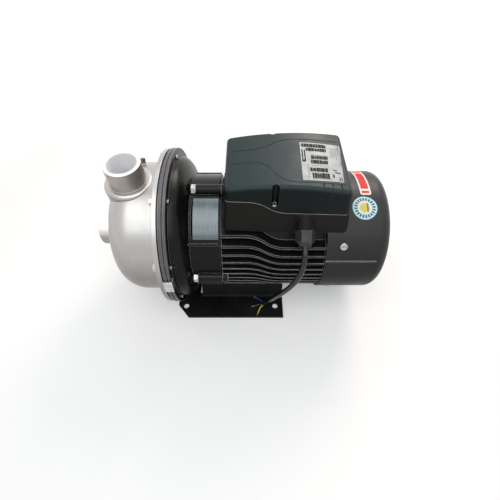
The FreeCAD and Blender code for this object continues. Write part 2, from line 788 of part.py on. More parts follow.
def motor_bracket():
    """Cast bracket: flanged disc, flared neck with windows, bolt lugs and the front bearing's wall."""
    hollow = [bell(flange_x, bell_end - 0.5, bell_opening, inner_neck), rod(bell_end - 1, bell_end + 1, inner_neck)]
    flare = bell(disc_back - 1.0, bell_end, bell_root, bracket_neck).fuse(bracket_disc()).cut(hollow)
    lugs = around(rod(bolt_seat(), housing_front, lug_radius, -lug_circle), 4)
    rib_start = disc_back + 8.0
    rib = block((rib_start, -bracket_neck - rib_height, -rib_thickness / 2),
                (housing_front - 5.0, -bracket_neck + 2.0, rib_thickness / 2))
    ribs = [at_angle(rib, angle) for angle in (rib_angle, -rib_angle, 180 - rib_angle, 180 + rib_angle)]
    pad = block((wall_front - 14.0, -pad_half_width, foot_pad_top),
                (housing_front - 3.0, pad_half_width, -bracket_neck * 0.75)).cut(
                    rod(wall_front - 15.0, housing_front, bracket_neck - 2.0))
    body = joined([flare, bracket_barrel()] + lugs + ribs + [pad])
    window_start = bell_end + 3.0
    window_end = wall_front - 2.0
    cuts = [window_cutter(low, high, inner_neck - 8, bracket_neck + 6, window_start, window_end)
            for low, high in ((window_low, window_high), (rear_window_low, rear_window_high))]
    cuts.append(at_angle(block((window_start, -bracket_neck - 2, -7), (window_end, -inner_neck + 8, 7)), -52))
    cuts += around(rod(wall_front - lug_length, housing_front + 1, bracket_bolt / 2 + fit_clearance,
                       -lug_circle), 4)
    cuts += flange_holes(flange_bolt / 2 + fit_clearance, flange_x - 1, disc_back + 1)
    cuts += flange_holes(bolt_tip_room, disc_back, disc_back + bell_length)
    cuts += around(rod(bolt_seat() - 12.0, bolt_seat(), bolt_head_room, -lug_circle), 4)
    cuts += foot_screw_bores(foot_pad_top - 1, foot_pad_top + 9, wall_front - 4.0)
    return body.cut(cuts)


def bolt_seat():
    """Where the bracket bolts' washers bear on the lugs."""
    return housing_front - 2.3 - lug_length


def shaft_guard(low, high):
    """Thin stainless sheet bowed over a bracket window, held by two screws."""
    start = bell_end + guard_inset
    end = housing_front - 3.6
    inner = bracket_neck + 0.05
    return window_cutter(low, high, inner, inner + guard_sheet, start, end)


def bracket_bolts():
    """Long bolts that hold the bracket on the stator housing."""
    head_x = bolt_seat()
    head = hexagon(13.0, 5.3, Vector(head_x - 1.4, -lug_circle, 0), Vector(-1, 0, 0))
    washer = rod(head_x - 1.4, head_x, 7.4, -lug_circle)
    shank = rod(head_x, housing_front + front_lug_length - 0.5, bracket_bolt / 2, -lug_circle)
    return group(around(joined([head, washer, shank]), 4))


def flange_clip():
    """Plated bracket on the front of the disc's rim, with a hook behind the disc."""
    rim = disc_radius + clip_sheet
    plate = block((flange_x - 1.0, -rim - clip_sheet, -clip_half), (disc_back + clip_sheet, -rim, clip_half))
    hook = block((disc_back + 0.1, -rim - clip_sheet, -clip_half),
                 (disc_back + clip_sheet, -disc_radius + clip_hook, clip_half))
    seat = block((flange_x + 2.0, -rim, -clip_half + 2.0), (disc_back - 2.0, -disc_radius + 2.0, clip_half - 2.0))
    seat = seat.cut(rod(flange_x, disc_back, disc_radius + 0.1))
    clip = at_angle(joined([plate, hook, seat]), clip_angle)
    clip.translate(Vector(0, 0, wet_lift))
    return clip


# Motor

def foot_screw_bores(low, high, middle_x):
    """Tapped holes above the foot's table at one station."""
    return [Part.makeCylinder(foot_screw / 2 + fit_clearance, high - low, Vector(middle_x, side * foot_screw_y, low))
            for side in (-1, 1)]


def housing_fin(level):
    """One fin: a level plate that steps down by an S-curve, as wide as the housing."""
    half = fin_thickness / 2
    bend = housing_front + fin_bend_start
    bend_end = bend + fin_bend_length
    low = stepped_line(housing_front, bend, bend_end, housing_back, level - half, level - half - fin_drop)
    high = stepped_line(housing_front, bend, bend_end, housing_back, level + half, level + half - fin_drop)
    return wide_extrusion(face_between(low, high), fin_tip + 4)


def stator_housing():
    """Finned aluminium body: its side fins step down halfway along, its lugs take bracket and foot."""
    core = rod(housing_front, housing_back, housing_core)
    shell = rod(housing_front, housing_back, fin_tip).cut(rod(housing_front - 1, housing_back + 1,
                                                              housing_core - 2))
    fins = [housing_fin(fin_lowest + fin_pitch * k).common(shell) for k in range(fin_count)]
    fins = [solid for fin in fins for solid in fin.Solids]
    half = fin_thickness / 2
    for k in range(belly_fins):
        y = (k - (belly_fins - 1) / 2) * fin_pitch
        fins.append(block((housing_front, y - half, -fin_tip), (housing_back, y + half, -housing_core + 3)))
    lug = rod(housing_front, housing_front + front_lug_length, lug_radius, -lug_circle)
    web = block((housing_front, -lug_circle, -lug_web / 2),
                (housing_front + front_lug_length, -housing_core + 3, lug_web / 2))
    lugs = around(lug.fuse(web), 4)
    foot_pad = block((housing_back - 84.0, -pad_half_width, foot_pad_top),
                     (housing_back - 84.0 + pad_length, pad_half_width, -housing_core * 0.8))
    top_pad = block((housing_front + 34.0, -top_pad_half_width, housing_core * 0.9),
                    (housing_front + 124.0, top_pad_half_width, top_pad_height))
    body = joined([core] + fins + lugs + [foot_pad, top_pad])
    inside = rod(housing_front - 1, housing_back + 1, bore)
    passage = block((housing_front + 60.0, -14.0, 60.0), (housing_front + 90.0, 14.0, top_pad_height + 1))
    screws = around(rod(housing_front - 1, housing_front + front_lug_length + 1, bracket_bolt / 2 + fit_clearance,
                        -lug_circle), 4)
    screws += around(rod(housing_back - shield_screw_depth, housing_back + 1, shield_screw / 2 + fit_clearance,
                         -shield_screw_circle), 4, 45.0)
    middle = housing_back - 84.0 + pad_length / 2
    return body.cut([inside, passage] + screws + foot_screw_bores(foot_pad_top - 1, foot_pad_top + 9, middle))


def stator_core():
    """Laminated stator with its slots closed by the winding."""
    return ring(core_start, core_end, bore - fit_clearance, stator_bore)


def winding_end(start, end):
    """Rounded overhang of the winding."""
    return turned([(start, stator_bore + 7, 6), (end, stator_bore + 7, 6),
                   (end, bore - 8, 7), (start, bore - 8, 7)])


def stator_winding():
    """Both overhangs of the winding, on the ends of the core."""
    return group([winding_end(core_start - winding_length, core_start),
                  winding_end(core_end, core_end + winding_length)])


def rotor_core():
    """Rotor stack with its cage rings and their fan stubs."""
    outer = stator_bore - air_gap
    body = ring(core_start, core_end, outer, rotor_seat)
    rings = [ring(core_start - cage_ring, core_start, outer - 1.5, rotor_seat + 10),
             ring(core_end, core_end + cage_ring, outer - 1.5, rotor_seat + 10)]
    stub = block((core_start - cage_ring - 6, -outer + 3, -1.5), (core_start - cage_ring, -rotor_seat - 12, 1.5))
    stubs = around(stub, 6)
    return joined([body] + rings + stubs)


def shaft():
    """Stepped shaft from the impeller to the cooling fan."""
    nut_end = impeller_hub_front - 2.0
    bearing_end = front_bearing_x + bearing_width
    solid = turned([
        (nut_end - 7.9, 0, 0), (nut_end - 7.9, wet_shaft - 2.0, 0.6), (nut_end, wet_shaft - 2.0, 0),
        (nut_end, wet_shaft, 0), (dish_back + 5, wet_shaft, 0), (dish_back + 5, front_journal, 0.5),
        (bearing_end, front_journal, 0), (bearing_end, front_journal + 2, 0),
        (core_start - 4, front_journal + 2, 0), (core_start - 4, rotor_seat, 0.5),
        (core_end + 4, rotor_seat, 0.5), (core_end + 4, rear_journal + 2.5, 0),
        (rear_bearing_x, rear_journal + 2.5, 0), (rear_bearing_x, rear_journal, 0),
        (fan_x - 2, rear_journal, 0.5), (fan_x - 2, fan_seat, 0), (shaft_end, fan_seat, 0.8), (shaft_end, 0, 0)])
    return solid.cut(key_shape(key_clearance))


def key_shape(spare):
    """Parallel key between impeller and shaft, or its slot when some spare room is added."""
    half = key_width / 2 + spare
    return block((impeller_hub_front + 1 - spare, -half, wet_shaft - key_width / 2 - spare),
                 (impeller_back - 2 + spare, half, wet_shaft + key_width / 2 + spare))


def bearing_outer(start, width, outer):
    """Outer ring with its two shields."""
    inner = outer - race
    shield_inner = outer - race - 5.0
    return turned([
        (start, outer, 0.6), (start + width, outer, 0.6), (start + width, inner, 0),
        (start + width - 0.8, inner, 0), (start + width - 0.8, shield_inner, 0),
        (start + width - 1.6, shield_inner, 0), (start + width - 1.6, inner, 0), (start + 1.6, inner, 0),
        (start + 1.6, shield_inner, 0), (start + 0.8, shield_inner, 0), (start + 0.8, inner, 0), (start, inner, 0)])


def bearing_inner(start, width, journal, outer):
    """Inner ring, pressed on the shaft."""
    return ring(start, start + width, outer - race - 5.0 - running_clearance, journal + 0.01)


def slinger():
    """Rubber disc that throws drops off the shaft."""
    start = dish_back + 12
    return turned([(start, front_journal + 0.02, 0), (start + 5, front_journal + 0.02, 0),
                   (start + 5, front_journal + 4, 0), (start + 3, front_journal + 5, 2),
                   (start + 2.4, slinger_radius, 0), (start, slinger_radius, 0)])


# Rear end

def rear_endshield():
    """Cast shield with the rear bearing's seat and the skirt that carries the fan cover."""
    hub_front = rear_bearing_x - 2.0
    shield = turned([
        (housing_back - 4, bore - 6, 0), (housing_back - 4, bore - fit_clearance, 0.6),
        (housing_back, bore - fit_clearance, 0), (housing_back, cover_radius - cover_wall - 0.4, 1.0),
        (skirt_end, cover_radius - cover_wall - 0.4, 1.0), (skirt_end, cover_radius - cover_wall - 5, 1.0),
        (endshield_back, cover_radius - cover_wall - 7, 3), (endshield_back, rear_bearing + 9, 4),
        (endshield_back + 2, rear_bearing + 5, 1), (endshield_back + 2, rear_journal + 1.5, 0),
        (rear_bearing_x + rear_bearing_width, rear_journal + 1.5, 0),
        (rear_bearing_x + rear_bearing_width, rear_bearing + fit_clearance, 0),
        (hub_front, rear_bearing + fit_clearance, 0), (hub_front, rear_bearing + 5, 1),
        (housing_back, rear_bearing + 8, 4), (housing_back, bore - 10, 2)])
    drill = Part.makeCylinder(cover_screw / 2 + fit_clearance, 14,
                              Vector(cover_end - cover_screw_from_end, -cover_radius - 2, 0), Vector(0, 1, 0))
    screw_holes = around(rod(housing_back - 5, skirt_end, shield_screw / 2 + 0.1, -shield_screw_circle), 4, 45.0)
    return shield.cut(screw_holes + cover_screw_places(drill))


def endshield_screws():
    """Four screws that hold the rear shield on the housing."""
    head = hexagon(7.0, 3.0, Vector(endshield_back, -shield_screw_circle, 0), Vector(1, 0, 0))
    shank = rod(housing_back - shield_screw_depth + 1, endshield_back, shield_screw / 2, -shield_screw_circle)
    return group(around(joined([head, shank]), 4, 45.0))


def fan_cover():
    """Moulded cover with a rounded end, ring-and-spoke grille and a fine ridge on each side."""
    inner = cover_radius - cover_wall
    shell = turned([
        (housing_back + 0.2, inner, 0), (housing_back + 0.2, cover_radius, 0.6),
        (cover_end, cover_radius, cover_round), (cover_end, 0, 0),
        (cover_end - cover_wall, 0, 0), (cover_end - cover_wall, inner, cover_round - cover_wall)])
    slots = []
    for k in range(grille_rings):
        outer = grille_radius - k * (grille_slot + grille_bar)
        slots.append(ring(cover_end - cover_wall - 1, cover_end + 1, outer, outer - grille_slot))
    spokes = around(block((cover_end - cover_wall, -grille_radius - 1, -spoke_width / 2),
                          (cover_end, -grille_radius + grille_rings * (grille_slot + grille_bar), spoke_width / 2)),
                    grille_spokes, 22.5)
    shell = shell.cut(slots).fuse(spokes).removeSplitter()
    ridge = block((housing_back + 1.0, -cover_radius - cover_rib, -cover_rib), (housing_back + cover_rib_length,
                  -cover_radius + 0.6, cover_rib))
    ridges = [at_angle(ridge, angle) for angle in (cover_rib_angle, 180 - cover_rib_angle)]
    shell = joined([shell] + ridges)
    screw_x = cover_end - cover_screw_from_end
    drill = Part.makeCylinder(cover_screw / 2 + 0.1, 12, Vector(screw_x, -cover_radius - 3, 0), Vector(0, 1, 0))
    return shell.cut(cover_screw_places(drill))


def cover_screw_places(shape):
    """Copies of a front-side shape at the cover's four screws."""
    return [at_angle(shape, angle) for angle in (cover_screw_angle, -cover_screw_angle,
                                                 180 - cover_screw_angle, 180 + cover_screw_angle)]


def fan_cover_screws():
    """Slotted round-head screws through the cover into the shield's skirt."""
    screw_x = cover_end - cover_screw_from_end
    seat = -cover_radius
    head = Part.makeCylinder(cover_screw_head, 2.2, Vector(screw_x, seat - 2.2, 0), Vector(0, 1, 0))
    top = [edge for edge in head.Edges if abs(edge.BoundBox.YMax - (seat - 2.2)) < 1e-3]
    head = head.makeFillet(1.4, top)
    slot = block((screw_x - cover_screw_head, seat - 3, -cover_screw_slot / 2),
                 (screw_x + cover_screw_head, seat - 1.2, cover_screw_slot / 2))
    shank = Part.makeCylinder(cover_screw / 2, 6.0, Vector(screw_x, seat, 0), Vector(0, 1, 0))
    return group(cover_screw_places(joined([head.cut(slot), shank])))


def cooling_fan():
    """Radial fan for both directions of turning."""
    hub = ring(fan_x, fan_x + fan_depth, fan_hub, fan_seat + 0.02)
    disc = ring(fan_x, fan_x + fan_disc, fan_radius - 8, fan_hub - 1)
    profile = [(fan_x + 0.4, fan_hub - 1, 0), (fan_x + fan_depth - 3, fan_hub - 1, 0),
               (fan_x + fan_depth, fan_hub + 16, 8), (fan_x + fan_depth, fan_radius, 6), (fan_x + 0.4, fan_radius, 3)]
    vane_face = outline(profile, "xz")
    vane_face.translate(Vector(0, -1.2, 0))
    vane = vane_face.extrude(Vector(0, 2.4, 0))
    vanes = []
    for k in range(fan_blades):
        copy = vane.copy()
        copy.rotate(Vector(0, 0, 0), Vector(1, 0, 0), 360.0 * k / fan_blades)
        vanes.append(copy)
    return joined([hub, disc] + vanes)


def fan_circlip():
    """Retaining ring behind the fan."""
    clip = ring(fan_x + fan_depth + 0.1, fan_x + fan_depth + 1.2, fan_seat + 3.2, fan_seat + 0.02)
    return clip.cut(block((fan_x + fan_depth - 1, -2.5, 0), (fan_x + fan_depth + 3, 2.5, fan_seat + 5)))


# Terminal box

def box_outline(height, inset):
    """Rounded trapezoid of the terminal box at one height, drawn in by an inset."""
    share = (height - box_bottom) / (box_reference - box_bottom)
    left = box_low_left + (box_top_left - box_low_left) * share - inset
    right = box_low_right + (box_top_right - box_low_right) * share - inset
    start = box_x + box_draft_left * share + inset
    end = box_end - box_draft_right * share - inset
    corner = box_corner - inset
    points = [Vector(start, -left, height), Vector(end, -right, height), Vector(end, right, height),
              Vector(start, left, height)]
    return Part.Wire(rounded_edges(points, [corner] * 4, True))


def crown_face(bottom, drop):
    """Side view of the box: flat below, arched on top."""
    start = box_x - 4
    end = box_end + 4
    middle = start + (end - start) * box_crown_peak
    left = Vector(start, 0, box_crown_left - drop)
    right = Vector(end, 0, box_crown_right - drop)
    arch = Part.Arc(left, Vector(middle, 0, box_crown_middle - drop), right).toShape()
    base_left = Vector(start, 0, bottom)
    base_right = Vector(end, 0, bottom)
    sides = [Part.LineSegment(left, base_left).toShape(), Part.LineSegment(base_left, base_right).toShape(),
             Part.LineSegment(base_right, right).toShape()]
    return Part.Face(Part.Wire(Part.__sortEdges__([arch] + sides)))


def box_volume(bottom, inset, drop, edge_round):
    """Drafted, crowned block of the terminal box."""
    high = box_crown_middle + 6
    loft = Part.makeLoft([box_outline(bottom, inset), box_outline(high, inset)], True, True)
    solid = loft.common(wide_extrusion(crown_face(bottom - 1, drop), 90))
    rim = [edge for edge in solid.Edges
           if edge.BoundBox.ZMin > box_crown_left - drop - 4]
    return solid.makeFillet(edge_round, rim)


def seam_side(above, gap):
    """Everything above or below the S-shaped joint between cover and base."""
    bend = box_x + seam_bend_start
    far = 200.0 if above else 40.0
    line = stepped_line(box_x - 10, bend, bend + seam_bend_length, box_end + 10, seam_left + gap, seam_right + gap)
    edge = [Part.LineSegment(Vector(box_x - 10, 0, far), Vector(box_end + 10, 0, far)).toShape()]
    return wide_extrusion(face_between(line, edge), 90)


def cover_field(far_shift, near_shift):
    """Upright prism over the cover between two S-shaped lines that part towards the fan end."""
    bend = box_x + field_bend_start
    bend_end = bend + field_bend_length
    start = box_x + field_start
    end = box_end - field_margin
    far = stepped_line(start, bend, bend_end, end, field_far_left + far_shift, field_far_right + far_shift)
    near = stepped_line(start, bend, bend_end, end, near_shift[0], near_shift[1])
    face = face_between(near, far)
    face.rotate(Vector(0, 0, 0), Vector(1, 0, 0), -90)
    face.translate(Vector(0, 0, box_crown_left - 8))
    return face.extrude(Vector(0, 0, 40))


def cover_grooves():
    """The long S-shaped groove beside the raised field and the short ones across the fan end."""
    core = box_volume(box_bottom, groove_depth, groove_depth, box_edge - groove_depth)
    grooves = [cover_field(groove_width, (field_far_left, field_far_right))]
    for k in range(end_grooves):
        x = box_end - end_groove_first - k * end_groove_pitch
        grooves.append(block((x, -box_low_right - 5, end_groove_low),
                             (x + groove_width, -box_top_right + end_groove_reach, box_crown_middle + 6)))
    return [groove.cut(core) for groove in grooves]


def box_screw_places(shape):
    """Front copy and mirrored back copy."""
    mirrored = shape.mirror(Vector(0, 0, 0), Vector(0, 1, 0))
    return [shape, mirrored]


def screw_line(height):
    """Y of the cover screw's axis on the front side."""
    share = (height - box_bottom) / (box_reference - box_bottom)
    along = (box_screw_x - box_x) / box_length
    low = box_low_left + (box_low_right - box_low_left) * along
    high = box_top_left + (box_top_right - box_top_left) * along
    return -(low + (high - low) * share) + 3.2


def terminal_box_cover():
    """Upper shell of the terminal box with its raised field, grooves and screw recesses."""
    outside = box_volume(box_bottom, 0.0, 0.0, box_edge).common(seam_side(True, box_gasket))
    raised = cover_field(0.0, (-field_near_left, -field_near_right)).common(
        wide_extrusion(crown_face(box_crown_left - 7, -field_rise), 90))
    body = outside.fuse(raised).cut(cover_grooves())
    cavity = box_volume(box_bottom - 2, box_wall, box_wall, box_edge - box_wall)
    y = screw_line(box_screw_seat)
    post = Part.makeCylinder(box_screw_slot + 2.2, 60, Vector(box_screw_x, y + 1.0, seam_right - 10))
    posts = [shape.common(outside) for shape in box_screw_places(post)]
    body = body.cut(cavity).fuse(posts).removeSplitter()
    recess = Part.makeCylinder(box_screw_slot, 60, Vector(box_screw_x, y, box_screw_seat))
    slot = block((box_screw_x - box_screw_slot, y - 20, box_screw_seat), (box_screw_x + box_screw_slot, y, 200))
    hole = Part.makeCylinder(box_screw / 2 + 0.2, 60, Vector(box_screw_x, y, seam_right - 20))
    cuts = box_screw_places(recess) + box_screw_places(slot) + box_screw_places(hole)
    return body.cut(cuts)


def gland_direction():
    """Unit vector along the cable gland, out of the box."""
    dip = math.radians(gland_dip)
    return Vector(0, -math.cos(dip), -math.sin(dip))


def gland_point(distance):
    """Point on the gland's axis, measured from the box's gland face."""
    return Vector(gland_x, gland_start_y, gland_start_z) + gland_direction() * distance


def terminal_box_base():
    """Lower shell of the terminal box: floor, skirt around the fins, screw posts and gland boss."""
    outside = box_volume(box_bottom, 0.0, 0.0, box_edge).common(seam_side(False, 0.0))
    body_clearance = rod(box_x - 20, box_end + 20, fin_tip + running_clearance)
    cover_clearance = rod(housing_back - 0.6, box_end + 20, cover_radius + running_clearance)
    gland_clearance = Part.makeCylinder(gland_hex / math.sqrt(3) + 0.4, 60, gland_point(0), gland_direction())
    floor_top = top_pad_height + box_floor
    cavity = box_volume(box_bottom - 2, box_wall, box_wall, box_edge - box_wall)
    over = cavity.common(block((0, -100, floor_top), (300, 100, 200)))
    under = cavity.common(block((0, -100, 20), (300, 100, top_pad_height)))
    lug_clearance = rod(box_x - 2, lug_end + running_clearance, lug_radius + running_clearance, 0.0, lug_circle)
    saddle = rod(box_x - 2, lug_end + running_clearance + saddle_wall, lug_radius + saddle_wall, 0.0, lug_circle)
    saddle = saddle.common(outside)
    boss = Part.makeCylinder(gland_boss, 26, gland_point(-26), gland_direction())
    boss = boss.cut(block((0, -box_low_left + 4, 0), (300, 100, 200))).common(seam_side(False, 0.0))
    y = screw_line(box_screw_seat)
    post = Part.makeCylinder(5.0, seam_right - floor_top - 2, Vector(box_screw_x, y + 2.0, floor_top - 1))
    posts = [shape.common(outside) for shape in box_screw_places(post)]
    shell = outside.cut([over, under])
    body = joined([shell, boss, saddle] + posts)
    entry = Part.makeCylinder(8.0, 60, gland_point(-40), gland_direction())
    hole = Part.makeCylinder(box_screw / 2 - 0.2, 60, Vector(box_screw_x, y, floor_top + 2))
    passage = block((housing_front + 62.0, -12.0, top_pad_height - 1), (housing_front + 88.0, 12.0, floor_top + 1))
    clearances = [body_clearance, cover_clearance, gland_clearance, lug_clearance]
    return body.cut(clearances + [entry, passage] + box_screw_places(hole))


def box_gasket_shape():
    """Rubber strip in the joint between cover and base."""
    outer = box_volume(box_bottom, 0.3, 0.3, box_edge - 0.3)
    inner = box_volume(box_bottom - 2, box_wall, box_wall, box_edge - box_wall)
    band = seam_side(True, 0.0).cut(seam_side(True, box_gasket))
    y = screw_line(box_screw_seat)
    holes = box_screw_places(Part.makeCylinder(box_screw / 2 + 0.3, 60, Vector(box_screw_x, y, seam_right - 20)))
    return outer.common(band).cut([inner] + holes)


def box_screws():
    """Cover screws in their recesses."""
    y = screw_line(box_screw_seat)
    head = Part.makeCylinder(3.8, 2.6, Vector(box_screw_x, y, box_screw_seat))
    cross = [block((box_screw_x - 2.4, y - 0.5, box_screw_seat + 1.2), (box_screw_x + 2.4, y + 0.5, 125)),
             block((box_screw_x - 0.5, y - 2.4, box_screw_seat + 1.2), (box_screw_x + 0.5, y + 2.4, 125))]
    shank = Part.makeCylinder(box_screw / 2 - 0.25, 18, Vector(box_screw_x, y, box_screw_seat - 18))
    return group(box_screw_places(joined([head.cut(cross), shank])))


def capacitor():
    """Run capacitor lying on the floor of the box."""
    centre_z = top_pad_height + box_floor + capacitor_radius + fit_clearance
    start = box_x + 14
    end = start + capacitor_length
    can = Part.makeCylinder(capacitor_radius, capacitor_length, Vector(start, 8, centre_z), Vector(1, 0, 0))
    tags = [block((end - 1, 8 + side * 7 - 3, centre_z - 0.5), (end + 8, 8 + side * 7 + 3, centre_z + 0.5))
            for side in (-1, 1)]
    return joined([can] + tags)


def terminal_block():
    """Six-way terminal block on the floor of the box."""
    floor_top = top_pad_height + box_floor
    x = box_x + 110
    base = block((x, -27, floor_top), (x + 22, 27, floor_top + 10))
    walls = [block((x, -27 + k * 9 - 0.8, floor_top + 9), (x + 22, -27 + k * 9 + 0.8, floor_top + 17))
             for k in range(1, 6)]
    return joined([base] + walls)


# Gland and cord

def gland_body():
    """Hexagon entry of the gland with its threaded stub in the box."""
    direction = gland_direction()
    hexed = hexagon(gland_hex, gland_body_length, gland_point(fit_clearance), direction)
    stub = Part.makeCylinder(8.0 - fit_clearance, 14, gland_point(-12), direction)
    nose = Part.makeCylinder(gland_nose_radius, gland_nose_length, gland_point(gland_body_length), direction)
    drill = Part.makeCylinder(cord_radius + 0.6, 60, gland_point(-20), direction)
    return joined([hexed, stub, nose]).cut(drill)


def gland_nut():
    """Clamping nut with flats and a rounded nose around the cord."""
    direction = gland_direction()
    start = gland_nut_start()
    flats = hexagon(gland_hex - 1.0, gland_nut_length, gland_point(start), direction)
    dome = Part.makeCone(gland_hex / 2 - 1.4, gland_dome_radius, gland_dome_length,
                         gland_point(start + gland_nut_length), direction)
    hollow = Part.makeCylinder(gland_nose_radius + 0.1, gland_nut_length, gland_point(start - 0.1), direction)
    drill = Part.makeCylinder(cord_radius + running_clearance, 60, gland_point(0), direction)
    return joined([flats, dome]).cut([hollow, drill])


def gland_nut_start():
    """Where the nut begins, measured along the gland."""
    return gland_body_length + 0.15


def gland_seal():
    """Rubber ring squeezed round the cord inside the gland."""
    direction = gland_direction()
    start = gland_body_length + gland_nose_length + 0.1
    length = gland_nut_start() + gland_nut_length - 0.2 - start
    seal = Part.makeCylinder(gland_nose_radius - 0.1, length, gland_point(start), direction)
    return seal.cut(Part.makeCylinder(cord_radius + 0.02, 60, gland_point(0), direction))


def gland_exit():
    """Where the cord comes out of the gland nut."""
    return gland_point(gland_nut_start() + gland_nut_length + gland_dome_length)


def cord_points():
    """Route of the cord from the gland down to the foot: X, Y and share of the whole drop, chosen by hand."""
    start = gland_exit()
    first = gland_exit() + gland_direction() * cord_lead
    drop = start.z - (cord_end_height - shaft_height)
    return [start, first] + [Vector(x, y, start.z - drop * share) for x, y, share in cord_route]


def cord_tube(points, radius):
    """Round tube along straight runs joined by tangent arcs, and the arcs' radii."""
    radii = [0.0] * len(points)
    for index in range(1, len(points) - 1):
        back = points[index - 1] - points[index]
        ahead = points[index + 1] - points[index]
        turn = math.pi - back.getAngle(ahead)
        radii[index] = 0.45 * min(back.Length, ahead.Length) / math.tan(turn / 2)
    path = Part.Wire(rounded_edges(points, radii, False))
    heading = points[1] - points[0]
    section = Part.Wire(Part.makeCircle(radius, points[0], heading))
    tube = path.makePipeShell([section], True, True)
    print("tube radii", [round(value, 1) for value in radii[1:-1]], "length", round(path.Length, 1),
          "volume", round(tube.Volume, 1), "expected", round(math.pi * radius ** 2 * path.Length, 1))
    return tube


def conductor_points(side_y, side_z, points):
    """A conductor's route: from its place in the sheath's end through the given points."""
    route = cord_points()
    heading = (route[-1] - route[-2]).normalize()
    across = heading.cross(Vector(1, 0, 0)).normalize()
    upward = across.cross(heading).normalize()
    start = route[-1] + across * side_y + upward * side_z
    return [start, start + heading * 5.0] + points


# Foot

def motor_foot():
    """Pressed hat-section foot: two floor flanges and a raised table under bracket and motor."""
    floor = -shaft_height
    top = foot_pad_top
    half = foot_half_width
    bend_outer = foot_bend + foot_sheet
    slope = foot_sheet * 1.03
    profile = [(-half, floor, 0), (-foot_wall_half, floor, foot_bend),
               (-foot_top_half + slope * 0.2, top - foot_sheet, foot_bend),
               (foot_top_half - slope * 0.2, top - foot_sheet, foot_bend),
               (foot_wall_half, floor, foot_bend), (half, floor, 0), (half, floor + foot_sheet, 0),
               (foot_wall_half + slope * 0.8, floor + foot_sheet, foot_bend),
               (foot_top_half + slope * 0.6, top, bend_outer), (-foot_top_half - slope * 0.6, top, bend_outer),
               (-foot_wall_half - slope * 0.8, floor + foot_sheet, foot_bend), (-half, floor + foot_sheet, 0)]
    start = -foot_length / 2
    face = outline(profile, "yz")
    face.translate(Vector(start, 0, 0))
    foot = face.extrude(Vector(foot_length, 0, 0))
    notch_end = disc_back + foot_gap_to_disc
    notch = block((start - 1, -foot_wall_half - 14, floor + foot_sheet), (notch_end, foot_wall_half + 14, top + 1))
    web = block((start, -foot_wall_half - 1, floor), (notch_end - foot_web_gap, foot_wall_half + 1, floor + foot_sheet))
    holes = [Part.makeCylinder(foot_hole, foot_sheet + 2, Vector(sx * foot_bolt_x / 2, sy * foot_bolt_y / 2, floor - 1))
             for sx in (-1, 1) for sy in (-1, 1)]
    corners = []
    for side in (-1, 1):
        points = [Vector(start - 1, side * (half + 1), floor - 1),
                  Vector(start + foot_chamfer_x + 1, side * (half + 1), floor - 1),
                  Vector(start - 1, side * (half - foot_chamfer_y - 1), floor - 1)]
        corners.append(Part.Face(Part.makePolygon(points + points[:1])).extrude(Vector(0, 0, foot_sheet + 2)))
    screws = []
    for station in foot_screw_stations():
        screws += foot_screw_bores(top - foot_sheet - 1, top + 1, station)
    return foot.cut([notch] + holes + corners + screws).fuse(web).removeSplitter()


def foot_screw_stations():
    """X of the screws under the bracket's pad and under the housing's pad."""
    return [wall_front - 4.0, housing_back - 84.0 + pad_length / 2]


def foot_screws():
    """Hexagon screws from under the foot's table into the pads."""
    under = foot_pad_top - foot_sheet
    screws = []
    for station in foot_screw_stations():
        for side in (-1, 1):
            base = Vector(station, side * foot_screw_y, under)
            head = hexagon(13.0, 5.3, base, Vector(0, 0, -1))
            shank = Part.makeCylinder(foot_screw / 2, foot_sheet + 8, base)
            screws.append(joined([head, shank]))
    return group(screws)


# Everything, one file for each sub-part

